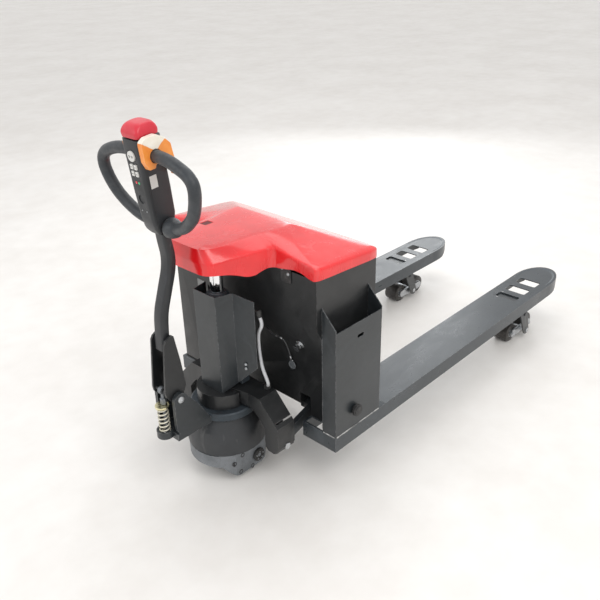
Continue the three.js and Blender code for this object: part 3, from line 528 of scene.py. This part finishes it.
def spline(points, steps):
    """Points along a smooth centripetal curve through the given ones."""
    pts = [Vector(p) for p in points]
    pts = [pts[0] * 2 - pts[1]] + pts + [pts[-1] * 2 - pts[-2]]
    out = []
    spans = len(pts) - 3
    for k in range(steps + 1):
        place = min(k / steps * spans, spans - 1e-9)
        i = int(place)
        p0, p1, p2, p3 = pts[i:i + 4]
        t0 = 0.0
        t1 = t0 + max((p1 - p0).length, 1e-9) ** 0.5
        t2 = t1 + max((p2 - p1).length, 1e-9) ** 0.5
        t3 = t2 + max((p3 - p2).length, 1e-9) ** 0.5
        t = t1 + (t2 - t1) * (place - i)
        a1 = p0 * ((t1 - t) / (t1 - t0)) + p1 * ((t - t0) / (t1 - t0))
        a2 = p1 * ((t2 - t) / (t2 - t1)) + p2 * ((t - t1) / (t2 - t1))
        a3 = p2 * ((t3 - t) / (t3 - t2)) + p3 * ((t - t2) / (t3 - t2))
        b1 = a1 * ((t2 - t) / (t2 - t0)) + a2 * ((t - t0) / (t2 - t0))
        b2 = a2 * ((t3 - t) / (t3 - t1)) + a3 * ((t - t1) / (t3 - t1))
        out.append(b1 * ((t2 - t) / (t2 - t1)) + b2 * ((t - t1) / (t2 - t1)))
    return out


def tube(name, points, radii, sides=24):
    """A round tube along points; radii in millimetres, one number or one per point."""
    pts = [Vector(p) for p in points]
    widths = radii if isinstance(radii, list) else [radii] * len(pts)
    rings = []
    tangent = (pts[1] - pts[0]).normalized()
    _, side, over = axes(tangent)
    for i, p in enumerate(pts):
        ahead = (pts[min(i + 1, len(pts) - 1)] - pts[max(i - 1, 0)]).normalized()
        turn = tangent.rotation_difference(ahead)
        side.rotate(turn)
        over.rotate(turn)
        tangent = ahead
        turns = [2 * math.pi * k / sides for k in range(sides)]
        rings.append([p + (side * math.cos(a) + over * math.sin(a)) * (widths[i] / 1000) for a in turns])
    return skin(name, rings)


def cable_curve(name, points, radius):
    """A round cord along points."""
    data = bpy.data.curves.new(name, "CURVE")
    data.dimensions = "3D"
    data.bevel_depth = radius
    data.bevel_resolution = 5
    data.use_fill_caps = True
    line = data.splines.new("POLY")
    line.points.add(len(points) - 1)
    for knot, p in zip(line.points, points):
        knot.co = (*p, 1)
    piece = bpy.data.objects.new(name, data)
    scene.collection.objects.link(piece)
    return piece


def middle(node):
    low, high = (Vector(v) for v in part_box(node))
    return (low + high) / 2


# ---- cords -------------------------------------------------------------------------------------
cable_line = spline([at(-58, -112, 345), at(-58, -124, 313), at(-58, -109, 274), at(-60, -118, 180),
                     at(-60, -140, 128), at(-52, -128, 107)], 36)
cable = cable_curve("power_cable_run", cable_line, 0.005)
settle(cable, "base", "cable")
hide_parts("power_cable")

tether_line = spline([at(20, -59, 246), at(14, -92, 240), at(20, -128, 231), at(27, -139, 200),
                      at(28.5, -149, 168)], 30)
tether = cable_curve("key_tether_run", tether_line, 0.0016)
# The tether is a black cord; its mid-grey tone is its highlights painted into the colour.
COATED_WIRE = plastic("coated_wire", rgba(0.055, 0.057, 0.060), rgba(0.12, 0.125, 0.13), rough=0.32,
                      grain=0.2, gloss=0.3)
settle(tether, "frame", "zinc", COATED_WIRE)
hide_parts("key_tether")
TAG = plastic("tag_plastic", rgba(0.085, 0.095, 0.105), rgba(0.16, 0.17, 0.18), rough=0.25, grain=0.1,
              gloss=0.5)
# A dished face inside a raised rim, and a flat back.
TAG_PROFILE = [(0, 0.9), (8.6, 0.9), (9.2, 1.5), (12.6, 1.5), (13.6, 0.9), (13.9, 0), (13.6, -0.9),
               (12.6, -1.5), (0, -1.5)]
tag = lathe("key_tag_disc", middle("key_tag"), (-1, 0, 0), TAG_PROFILE, 56)
settle(tag, "frame", "dark_plastic", TAG)
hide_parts("key_tag")

# ---- red cover ---------------------------------------------------------------------------------
# Heights are in millimetres over the deck, and places on the roof are from the datums.
ROOF = (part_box("top_cover")[1][2] - DECK) * 1000
ROOF_EDGE = ROOF - 1.2
ROOF_MIDDLE = -50
CORNER_CUT = 15
RECESS_MIDDLE = (-61, 75)
RECESS_FLOOR = ROOF - 2.6
# Stations round the rim: plan position, height of the skirt and of the shoulder, and the roof point.
RIM = [
    (234, 303, 470, 499, 84, 105), (104, 303, 478, 510, 78, 104), (-26, 303, 485, 520, 60, 102),
    (-26, 280, 481, 522, 42, 100), (-26, 238, 499, 527, 20, 98), (-26, 173, 484, 535, -2, 95),
    (-26, 145, 483, 538, -24, 92), (-54, 136, 480, 537, -54, 89), (-86, 127, 464, 536, -86, 86),
    (-136, 113, 488, 534, -136, 80), (-176, 101, 495, 531, -172, 75), (-192, 93, 496, 530, -186, 70),
    (-202, 80, 496, 529, -195, 60), (-206, 62, 495, 528, -200, 46),
]
# Each ring: how far in towards the roof point, how far up the skirt, how far up from shoulder to roof.
COVER_PROFILE = [
    (0, 0, 0), (0, 0.5, 0), (0, 0.80, 0), (0.003, 0.93, 0), (0.012, 1, 0.012), (0.03, 1, 0.045),
    (0.055, 1, 0.085), (0.09, 1, 0.125), (0.3, 1, 0.335), (0.5, 1, 0.53), (0.7, 1, 0.73),
    (0.86, 1, 0.885), (0.93, 1, 0.948), (0.97, 1, 0.978), (1.0, 1, 0.99),
]


def rectangle(x, y, length, width):
    """Corners of a rectangle seen from above."""
    return [(x + i * length / 2, y + j * width / 2) for i, j in ((-1, -1), (1, -1), (1, 1), (-1, 1))]


def hollow(piece, corners):
    """Cuts a box, given as its lower and upper four corners, out of a piece."""
    cutter = skin("cutter", [corners[:4], corners[4:]])
    made = piece.modifiers.new("hollow", "BOOLEAN")
    made.object = cutter
    made.operation = "DIFFERENCE"
    made.solver = "EXACT"
    bpy.context.view_layer.update()
    shaped = piece.evaluated_get(bpy.context.evaluated_depsgraph_get())
    mesh = bpy.data.meshes.new_from_object(shaped)
    piece.modifiers.clear()
    piece.data = mesh
    smooth(mesh, 60)
    bpy.data.objects.remove(cutter)


def red_cover():
    """One moulded skin: an upright skirt, a rolled shoulder and slopes that ease into a crowned roof."""
    whole = RIM + [(x, -y, low, high, px, -py) for x, y, low, high, px, py in reversed(RIM)]
    near = []
    for k, station in enumerate(whole):
        for other in (whole[k - 1], whole[(k + 1) % len(whole)]):
            gap = math.hypot(station[0] - other[0], station[1] - other[1])
            part = min(0.34, CORNER_CUT / gap)
            near.append(tuple(a + (b - a) * part for a, b in zip(station, other)))
    for _ in range(3):
        near = [tuple(a * (1 - t) + b * t for a, b in zip(near[i], near[(i + 1) % len(near)]))
                for i in range(len(near)) for t in (0.25, 0.75)]
    rings = []
    for inward, skirt, climb in COVER_PROFILE:
        ring = []
        for x, y, low, high, px, py in near:
            rim_top = high - 3
            if climb == 0:
                z = low + (rim_top - low) * skirt
            else:
                z = rim_top + (ROOF_EDGE - rim_top) * climb
            ring.append(at(x + (px - x) * inward, y + (py - y) * inward, z))
        rings.append(ring)
    for shrink in (0.75, 0.45, 0.15):
        crown = ROOF_EDGE + 1.0 * (1 - shrink)
        rings.append([at(ROOF_MIDDLE + (px - ROOF_MIDDLE) * shrink, py * shrink, crown)
                      for x, y, low, high, px, py in near])
    piece = skin("cover_skin", [list(reversed(r)) for r in rings], capped=False, degrees=60)
    bm = bmesh.new()
    bm.from_mesh(piece.data)
    bm.verts.ensure_lookup_table()
    bm.faces.new([bm.verts[i] for i in range(len(bm.verts) - len(near), len(bm.verts))])
    bmesh.ops.recalc_face_normals(bm, faces=bm.faces)
    bm.to_mesh(piece.data)
    bm.free()
    piece.data.shade_smooth()
    wall = piece.modifiers.new("wall", "SOLIDIFY")
    wall.thickness = 0.0036
    wall.offset = -1
    wall.use_even_offset = False
    hollow(piece, [at(x, y, z) for z in (RECESS_FLOOR, RECESS_FLOOR + 8.6)
                   for x, y in rectangle(*RECESS_MIDDLE, 30, 26)])
    bevel(piece, 0.0009, 3, 50)
    settle(piece, "frame", "cover_red")
    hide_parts("top_cover")


red_cover()
# The recess floor is a much darker red than the cover: painted shade in the recess.
RECESS = plastic("recess_shade_red", rgba(0.10, 0.003, 0.004), rgba(0.17, 0.004, 0.006), rough=0.5, grain=0.2)

# ---- helpers for small hardware ----------------------------------------------------------------
def merge(name, pieces):
    """One object out of several meshes."""
    bm = bmesh.new()
    for piece in pieces:
        bm.from_mesh(piece.data)
    mesh = bpy.data.meshes.new(name)
    bm.to_mesh(mesh)
    bm.free()
    for piece in pieces:
        bpy.data.objects.remove(piece)
    return new_object(name, mesh)


def bolt(name, origin, axis, size, body, slot):
    """A round screw head with a socket, on a washer."""
    washer = lathe(name + "_w", origin, axis, [(0, 0.1), (size * 1.25, 0.1), (size * 1.3, 0.4),
                                               (size * 1.25, 0.9), (size, 1.0)], 32)
    head_part = lathe(name + "_h", origin, axis, [(size, 1.0), (size, 2.6), (size * 0.9, 3.2),
                                                  (size * 0.55, 3.3), (size * 0.5, 1.6), (0, 1.5)], 32)
    return settle(merge(name, [washer, head_part]), body, slot)


def dome(name, origin, axis, radius, rise, body, slot, material=None):
    """A shallow rounded button, such as a rivet head or an axle end."""
    steps = [(0, rise)] + [(radius * math.sin(a * math.pi / 16), rise * math.cos(a * math.pi / 16))
                           for a in range(1, 8)] + [(radius, 0), (radius, -0.6)]
    return settle(lathe(name, origin, axis, steps, 36, 60), body, slot, material)


def plate(name, corners, thickness, body, slot, material=None, round_by=0.0004):
    """A thin plate: four corners in order, thickened away from their face."""
    a, b, c, d = (Vector(v) for v in corners)
    out = (b - a).cross(d - a).normalized() * (thickness / 1000)
    bm = bmesh.new()
    low = [bm.verts.new(v) for v in (a, b, c, d)]
    high = [bm.verts.new(v + out) for v in (a, b, c, d)]
    bm.faces.new(low)
    bm.faces.new(high)
    for k in range(4):
        bm.faces.new((low[k], low[(k + 1) % 4], high[(k + 1) % 4], high[k]))
    bmesh.ops.recalc_face_normals(bm, faces=bm.faces)
    mesh = bpy.data.meshes.new(name)
    bm.to_mesh(mesh)
    bm.free()
    smooth(mesh)
    piece = new_object(name, mesh)
    bevel(piece, round_by, 3)
    return settle(piece, body, slot, material)


def glow(name, colour, strength):
    """A faintly lit lens."""
    n = Nodes(name)
    tone = n.mix(n.noise(80.0, 2.0), colour, shade(colour, 1.3))
    made = n.out(tone, 0.2, 0.0, None, 0.6)
    n.shader.inputs["Emission Color"].default_value = colour
    n.shader.inputs["Emission Strength"].default_value = strength
    return made


# The recess floor plate, painted dark as shade.
plate("cover_recess_floor", [at(x, y, RECESS_FLOOR + 0.05) for x, y in rectangle(*RECESS_MIDDLE, 27, 23)],
      0.5, "frame", "cover_red", RECESS, 0.0002)

# ---- tiller head -------------------------------------------------------------------------------
# The loop of each grip, from the top of the head to its foot: across, up the head, back from its front.
GRIP_LINE = [
    (33.4, 223, 5), (52, 223, 5), (78, 222, 4), (106, 218, 3), (134, 210, 2), (160, 198, 2),
    (175, 182, 1), (178, 162, 0), (173, 139, 0), (164, 117, 1), (150, 94, 3), (131, 75, 5),
    (108, 57, 8), (84, 44, 11), (58, 35, 15), (30, 29, 18),
]
GRIP_RADIUS = 15.4
GRIP_ROOT = [(0, 24.9), (23.5, 24.9), (24.8, 26.2), (26.6, 31), (26.4, 35), (24.6, 44), (21.5, 52),
             (18, 58), (15, 61.5), (0, 62)]
for hand, side in (("left", 1), ("right", -1)):
    line = spline([head(p, side * y, s) for y, s, p in GRIP_LINE], 110)
    shape = tube(f"grip_{hand}_tube", line, GRIP_RADIUS, 36)
    root = lathe(f"grip_{hand}_root", head(17, 0, 30), (0, side, 0), GRIP_ROOT, 48, 60)
    piece = merge(f"grip_{hand}_soft", [shape, root])
    smooth(piece.data, 60)
    settle(piece, "tiller", "grip_rubber")
    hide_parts(f"grip_{hand}")


def head_ring(s, front, back, half, radius, steps=8):
    """A rounded rectangle across the head, at height s."""
    ring = []
    corners = ((back - radius, half - radius), (front + radius, half - radius),
               (front + radius, radius - half), (back - radius, radius - half))
    for (cp, cy), start in zip(corners, (0, 90, 180, 270)):
        for k in range(steps + 1):
            a = math.radians(start + 90 * k / steps)
            ring.append(head(cp + radius * math.cos(a), cy + radius * math.sin(a), s))
    return ring


PAD_FOOT = 266
PAD_SHOULDER = 276


def belly_pad():
    """The red button on the end of the head: short upright sides and a crowned top."""
    rings = []
    for t in (0, 0.06, 0.2, 0.35):
        rings.append(head_ring(PAD_FOOT + (PAD_SHOULDER - PAD_FOOT) * t / 0.35, -23.2 - 2.4 * t,
                               40.4 + 1.4 * t, 32.2 + 1.6 * min(1, t * 6), 10))
    for k in range(1, 13):
        a = k / 12 * math.pi / 2
        draw = 1 - math.cos(a)
        rings.append(head_ring(PAD_SHOULDER + 21 * math.sin(a) ** 1.25, -24.0 + 22 * draw,
                               41 - 14 * draw, 33.8 - 12 * draw, 10 + 3 * draw))
    pad = skin("belly_button_pad", rings, degrees=70)
    settle(pad, "belly_button", "button_red")
    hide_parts("belly_button")


belly_pad()

INK = plastic("ink", rgba(0.012, 0.012, 0.013), rgba(0.03, 0.03, 0.03), rough=0.5, grain=0.2)
for hand in (-1, 1):
    dome(f"horn_mark_{hand + 1}", head(-30.0, hand * 5.0, 224), -LEAN, 3.1, 0.25, "horn", "dark_plastic", INK)
    dome(f"horn_eye_{hand + 1}", head(-30.2, hand * 5.0, 224.4), -LEAN, 1.5, 0.25, "horn", "white_plastic")
for letter, y, s in (("a", 7.5, 198), ("b", -7.5, 198), ("c", 7.5, 181), ("d", -7.5, 181)):
    corners = [head(-29.55, y + 2.6 * i, s + 0.7 * j) for i, j in ((1, -1), (1, 1), (-1, 1), (-1, -1))]
    plate(f"key_{letter}_dash", corners, 0.15, f"key_{letter}", "dark_plastic", INK, 0.00005)
dome("lamp_red", head(-26.6, 5.2, 158), -LEAN, 3.4, 1.2, "tiller", "button_red",
     glow("lamp_red", rgba(0.55, 0.02, 0.03), 0.25))
dome("lamp_green", head(-26.6, -5.2, 158), -LEAN, 3.4, 1.2, "tiller", "white_plastic",
     glow("lamp_green", rgba(0.03, 0.34, 0.13), 0.2))
for hand in (-1, 1):
    bolt(f"head_screw_{hand + 1}", head(-23.6, hand * 9, 85), -LEAN, 2.1, "tiller", "zinc")
label = [head(p, y, s) for p, y, s in
         ((-12, -28.75, 142), (8, -28.75, 142), (8, -30.15, 174), (-12, -30.15, 174))]
plate("blank_label", label, 0.25, "tiller", "white_plastic", None, 0.00008)
# The joint between the head's two halves, up each side.
SEAM = ((34, -22.4), (62, -25.4), (130, -28.4), (200, -31.4), (240, -33.3), (258, -34))
seam = [head(-14.0, y, s) for s, y in SEAM]
for hand in (-1, 1):
    points = spline([Vector((v.x, MIDDLE + (v.y - MIDDLE) * -hand, v.z)) for v in seam], 40)
    settle(tube(f"head_seam_{hand + 1}", points, 0.45, 8), "tiller", "dark_plastic", INK)

# ---- spring, tiller foot -----------------------------------------------------------------------
CREAM = metal("spring_cream", rgba(0.62, 0.58, 0.46), rgba(0.80, 0.77, 0.66), rough=0.34, grime=0.3,
              metallic=0.35)
COIL_TURNS = 7.5
COIL_RADIUS = 0.0144
WIRE_ROOM = 0.0022


def return_spring():
    """The helix round the spring rod, with its end turns lying flat."""
    low, high = (Vector(v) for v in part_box("return_spring"))
    centre = (low + high) / 2
    coil = []
    for k in range(241):
        t = k / 240
        turn = t * COIL_TURNS * 2 * math.pi
        ease = min(1, max(0, (t - 0.08) / 0.84))
        coil.append(Vector((centre.x + COIL_RADIUS * math.cos(turn),
                            centre.y + COIL_RADIUS * math.sin(turn),
                            low.z + WIRE_ROOM + (high.z - low.z - 2 * WIRE_ROOM) * ease)))
    spring = tube("return_spring_coil", coil, 2.15, 12)
    settle(spring, "steer", "zinc", CREAM)
    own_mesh(spring)
    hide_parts("return_spring")


return_spring()
PIN_END = [(0, 0.2), (2.2, 0.2), (2.8, 0.9), (8.4, 0.9), (9.6, 0.2), (9.8, -0.3)]
for hand in (-1, 1):
    pin = middle("tiller_pin")
    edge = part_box("tiller_pin")[1 if hand > 0 else 0][1]
    end = lathe(f"tiller_pin_end_{hand + 1}", (pin.x, edge, pin.z), (0, hand, 0), PIN_END, 40)
    settle(end, "steer", "zinc")

# ---- rollers and drive wheel -------------------------------------------------------------------
# Profiles are (radius, distance across), as in lathe().
ROLLER = [(7.6, -29.2), (17.5, -29.2), (18.0, -30), (33.0, -30), (35.6, -28.6), (36.9, -25.6), (36.95, 0),
          (36.9, 25.6), (35.6, 28.6), (33.0, 30), (18.0, 30), (17.5, 29.2), (7.6, 29.2), (7.6, -29.2)]
BEARING = [(7.7, 28.4), (7.7, 29.7), (9.6, 29.9), (10.2, 29.5), (14.4, 29.5), (15.0, 29.9), (16.8, 29.9),
           (17.3, 29.3)]
BOGIE_PIN = [(0, 0.1), (6.6, 0.1), (8.0, -0.5), (8.8, -1.6)]
AXLE_SPREAD = 0.062
AXLE_HALF = 0.0396


def roller(node):
    """A tread with a bearing let into each end."""
    centre = middle(node)
    tread = lathe(f"{node}_tread", centre, (0, 1, 0), ROLLER, 72)
    settle(tread, node, "roller_tyre")
    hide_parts(node)
    for face in (-1, 1):
        bearing = lathe(f"{node}_bearing_{face + 1}", centre, (0, face, 0), BEARING, 48)
        settle(bearing, node, "zinc")


def bogie_ends(hand):
    """Rounded axle ends and the pin that holds the bogie in its yoke."""
    node = f"bogie_{hand}"
    centre = middle(node)
    for k, away in enumerate((-AXLE_SPREAD, AXLE_SPREAD)):
        for face in (-1, 1):
            dome(f"axle_{hand}_{k}_{face + 1}", centre + Vector((away, face * AXLE_HALF, 0)),
                 (0, face, 0), 7.2, 1.8, node, "zinc")
    for face in (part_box(node)[0][1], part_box(node)[1][1]):
        outward = 1 if face > centre.y else -1
        pin = lathe(f"bogie_pin_{hand}_{outward + 1}", (centre.x, face, centre.z), (0, outward, 0),
                    BOGIE_PIN, 40)
        settle(pin, node, "zinc")


for hand in ("left", "right"):
    for end in ("front", "rear"):
        roller(f"roller_{end}_{hand}")
    bogie_ends(hand)

centre = middle("drive_tyre")
tread = [(76, -33), (97, -34.8), (99.5, -34.2), (103.5, -31), (104.8, -27)]
for k in range(5):
    y = -20 + k * 10
    tread += [(104.9, y - 4), (104.9, y - 1.1), (103.4, y - 0.7), (103.4, y + 0.7), (104.9, y + 1.1),
              (104.9, y + 4)]
tread += [(104.8, 27), (103.5, 31), (99.5, 34.2), (97, 34.8), (76, 33), (76, -33)]
tyre = lathe("drive_tyre_tread", centre, (0, 1, 0), tread, 96)
settle(tyre, "wheel", "drive_tyre")
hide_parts("drive_tyre")

# ---- drive unit hardware -----------------------------------------------------------------------
BOSS_RING = [(20.6, -6), (21.4, -2), (20.8, 1.0), (18.6, 1.6), (17.4, 0.6), (16.2, 0.4), (15.6, 1.8),
             (10.4, 1.8), (9.8, 0.4), (6.2, 0.3), (5.6, -1.2), (0, -1.4)]
BOSS_BOLTS = 0.0131
GEAR_BOLT = [(7.6, -2.5), (7.6, 0.3), (6.6, 1.0), (5.2, 1.0), (4.8, 0.2), (4.6, -1.6), (0, -1.8)]
OUTWARD = (0, -1, 0)
boss = at(-79, -106, -136)
settle(lathe("gear_boss_ring", boss, OUTWARD, BOSS_RING, 56), "steer", "dark_plastic", INK)
for k in range(5):
    a = math.radians(20 + 72 * k)
    spot = boss + Vector((BOSS_BOLTS * math.cos(a), -0.0018, BOSS_BOLTS * math.sin(a)))
    bolt(f"gear_boss_bolt_{k}", spot, OUTWARD, 1.5, "steer", "zinc")
for k, (x, z) in enumerate(((-172, -120), (-150, -160), (-104, -166), (-140, -104))):
    ring = lathe(f"gear_bolt_{k}", at(x, -100.2, z), OUTWARD, GEAR_BOLT, 36)
    settle(ring, "steer", "dark_plastic", INK)

# ---- lift cylinder head, shroud bolts ----------------------------------------------------------
GLAND = [(18.7, -4), (18.9, 2.2), (20.4, 3.4), (25.4, 3.4), (27.2, 1.6), (27.6, 0.2)]
SHROUD_FACE = Vector((-61, -22, 0))
ram = middle("lift_ram")
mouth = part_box("lift_cylinder")[1][2]
settle(lathe("cylinder_gland", (ram.x, ram.y, mouth), (0, 0, 1), GLAND, 56), "base", "blue_casting")
for k, z in enumerate((170, 184)):
    bolt(f"shroud_bolt_{k}", at(-92.5, -86.5, z), SHROUD_FACE, 3.4, "base", "zinc")

# ---- housing details ---------------------------------------------------------------------------
for k, (y, z) in enumerate(((-176, 486), (-197, 474))):
    bolt(f"socket_screw_{k}", at(-21.8, y, z), (-1, 0, 0), 3.6, "frame", "zinc")

WELD = metal("weld_bead", rgba(0.03, 0.033, 0.036), rgba(0.80, 0.80, 0.78), rough=0.42, pitch=120.0,
             pits=0.5, grime=0.45, metallic=0.25)


def weld(name, start, end, radius, body, material=None):
    """A bead of overlapping ripples along a seam."""
    a, b = Vector(start), Vector(end)
    steps = max(12, int((b - a).length / 0.0014))
    points = [a.lerp(b, k / steps) for k in range(steps + 1)]
    widths = [radius * (0.72 + 0.2 * abs(math.sin(k * 0.9)) + 0.3 * noise.noise(p * 130))
              for k, p in enumerate(points)]
    widths[0] = widths[-1] = radius * 0.25
    return settle(tube(name, points, widths, 10), body, "frame_paint", material or WELD)


HALF_WIDTH = (FORK_HIGH.y - MIDDLE) * 1000
weld("weld_pocket_side", at(3, 0.4 - HALF_WIDTH, 0.4), at(196, 0.4 - HALF_WIDTH, 0.4), 2.6, "frame")
weld("weld_pocket_front", at(0.6, 4 - HALF_WIDTH, 0.4), at(0.6, -296, 0.4), 2.4, "frame")
weld("weld_pocket_back", at(197.6, 4 - HALF_WIDTH, 0.6), at(197.6, -296, 0.6), 2.4, "frame")
for hand in (-1, 1):
    weld(f"weld_housing_{hand + 1}", at(60, hand * 293.6, 1.0), at(226, hand * 293.6, 1.0), 2.2, "frame")
    weld(f"weld_heel_{hand + 1}", at(112.5, hand * 191, -1.0), at(226, hand * 191, -1.0), 2.4, "frame")
weld("weld_pocket_edge", at(0.4, -294.2, 8), at(0.4, -294.2, 390), 1.6, "frame", FINISH["frame_paint"])
for hand in (-1, 1):
    guard = [at(x, hand * y, -7.2) for x, y in ((1082, 222), (1129, 222), (1129, 319), (1082, 319))]
    plate(f"slot_guard_{hand + 1}", guard if hand > 0 else guard[::-1], 1.6, "frame", "frame_paint")
    for k, (x, y) in enumerate(((1079, 236), (1130, 232))):
        dome(f"weld_dot_{hand + 1}_{k}", at(x, hand * y, 0), (0, 0, 1), 3.4, 0.7, "frame", "frame_paint",
             WELD)

# ---- ridge round each fork's tip ---------------------------------------------------------------
RIDGE_INSET = 0.87
RIDGE_STEP = 0.0045
RIDGE_RADIUS = 1.7


def tip_ridge(hand):
    """A half-sunk ridge that follows the tip and fades out along both edges."""
    bow = []
    for k in range(65):
        a = math.pi * (k / 64 - 0.5)
        bow.append(Vector((TIP_START + TIP_LENGTH * RIDGE_INSET * math.cos(a),
                           MIDDLE + hand * FORK_LINE + FORK_HALF * RIDGE_INSET * math.sin(a),
                           DECK - 0.0004)))
    bow = [bow[0] - Vector((RIDGE_STEP * (10 - k), 0, 0)) for k in range(10)] + bow
    bow += [bow[-1] - Vector((RIDGE_STEP * k, 0, 0)) for k in range(1, 11)]
    last = len(bow) - 1
    widths = [RIDGE_RADIUS * min(1, 0.1 + k / 8, 0.1 + (last - k) / 8) for k in range(last + 1)]
    ridge = tube(f"tip_ridge_{hand + 1}", bow, widths, 12)
    settle(ridge, "frame", "frame_paint", FINISH["fork_deck"])


for hand in (-1, 1):
    tip_ridge(hand)

# ---- key, tether and tag -----------------------------------------------------------------------
CRIMP = [(1.7, -3.4), (2.7, -3.2), (2.9, -2.4), (2.9, 2.4), (2.7, 3.2), (1.7, 3.4)]
for k, t in enumerate((10, 13, 28)):
    way = (tether_line[t + 1] - tether_line[t]).normalized()
    settle(lathe(f"tether_crimp_{k}", tether_line[t], way, CRIMP, 28), "frame", "zinc")
HOOP = 0.0062
hoop_line = []
for k in range(40):
    a = k / 40 * 2 * math.pi
    hoop_line.append(tether_line[-1] + Vector((0.0004, HOOP * math.sin(a), HOOP * math.cos(a) - 0.0058)))
hoop = cable_curve("tag_ring", hoop_line, 0.00075)
hoop.data.splines[0].use_cyclic_u = True
settle(hoop, "frame", "zinc")
# Ribbed boots. Radii here are in cord radii, for the two that cords leave by.
BOOT = [(0, -4.5), (1.9, -4.5), (2.0, -1.5), (1.75, 2.5), (1.7, 5), (1.45, 6), (1.5, 9), (1.25, 10),
        (1.3, 13), (1.08, 15)]
END_BOOT = [(0, -5), (9.4, -5), (9.8, -2), (8.6, 2), (8.2, 5), (7.0, 6), (7.2, 9), (5.6, 13)]
for name, line, radius, body in (("cable_boot", cable_line, 5.0, "base"),
                                 ("tether_boot", tether_line, 1.6, "frame")):
    way = (line[1] - line[0]).normalized()
    boot = lathe(name, line[0], way, [(radius * r, h) for r, h in BOOT], 36)
    settle(boot, body, "black_rubber")
way = (cable_line[-1] - cable_line[-2]).normalized()
settle(lathe("cable_end_boot", cable_line[-1], -way, END_BOOT, 36), "base", "black_rubber")

# ---- dressed copies ----------------------------------------------------------------------------
DONE = {n for n in frame["nodes"] if n.startswith(("grip_", "roller_"))}
DONE |= {"power_cable", "key_tether", "key_tag", "top_cover", "belly_button", "return_spring", "drive_tyre"}
# How far a node's edges are rounded, by the start of its name, in metres.
ROUND = {"fork": 0.0022, "base_arch": 0.002, "head_housing": 0.0012, "horn_button": 0.0014, "key_": 0.0011,
         "throttle": 0.0035, "tiller_mount": 0.0016, "tiller_arm": 0.001, "motor_cover": 0.003,
         "bogie": 0.0016,
         "body_shell": 0.0009, "document_pocket": 0.0009, "ram_shroud": 0.0009, "steering_ring": 0.0014,
         "lift_ram": 0.0008, "side_cap": 0.0018}
# Up to which angle, in degrees, faces are shaded as one curve.
SMOOTHER = {"throttle": 42, "head_housing": 40, "gear_case": 26}
OTHER = {"fork_left": "fork_deck", "fork_right": "fork_deck"}


def chosen(table, node, otherwise):
    return next((value for start, value in table.items() if node.startswith(start)), otherwise)


for node in frame["nodes"]:
    if node not in DONE:
        dress(node, chosen(ROUND, node, 0.0012), 3, FINISH[OTHER[node]] if node in OTHER else None,
              chosen(SMOOTHER, node, 34))

# ---- floor -------------------------------------------------------------------------------------
bm = bmesh.new()
bmesh.ops.create_grid(bm, x_segments=24, y_segments=24, size=50)
floor_mesh = bpy.data.meshes.new("studio_floor")
bm.to_mesh(floor_mesh)
bm.free()
floor = new_object("studio_floor", floor_mesh)
floor.location.z = -0.0005
n = Nodes("floor_concrete")
mottle = n.math("ADD", n.math("MULTIPLY", n.noise(1.6, 5.0), 0.6), n.math("MULTIPLY", n.noise(9.0, 5.0), 0.4))
tone = n.mix(n.ramp(mottle, 0.38, 0.62), rgba(0.80, 0.775, 0.745), rgba(0.87, 0.85, 0.825))
floor_mesh.materials.append(n.out(tone, n.ramp(n.noise(6.0, 4.0), 0.35, 0.65, 0.45, 0.7), 0.0,
                                  n.bump(n.noise(160.0, 4.0), 0.12, 0.001)))
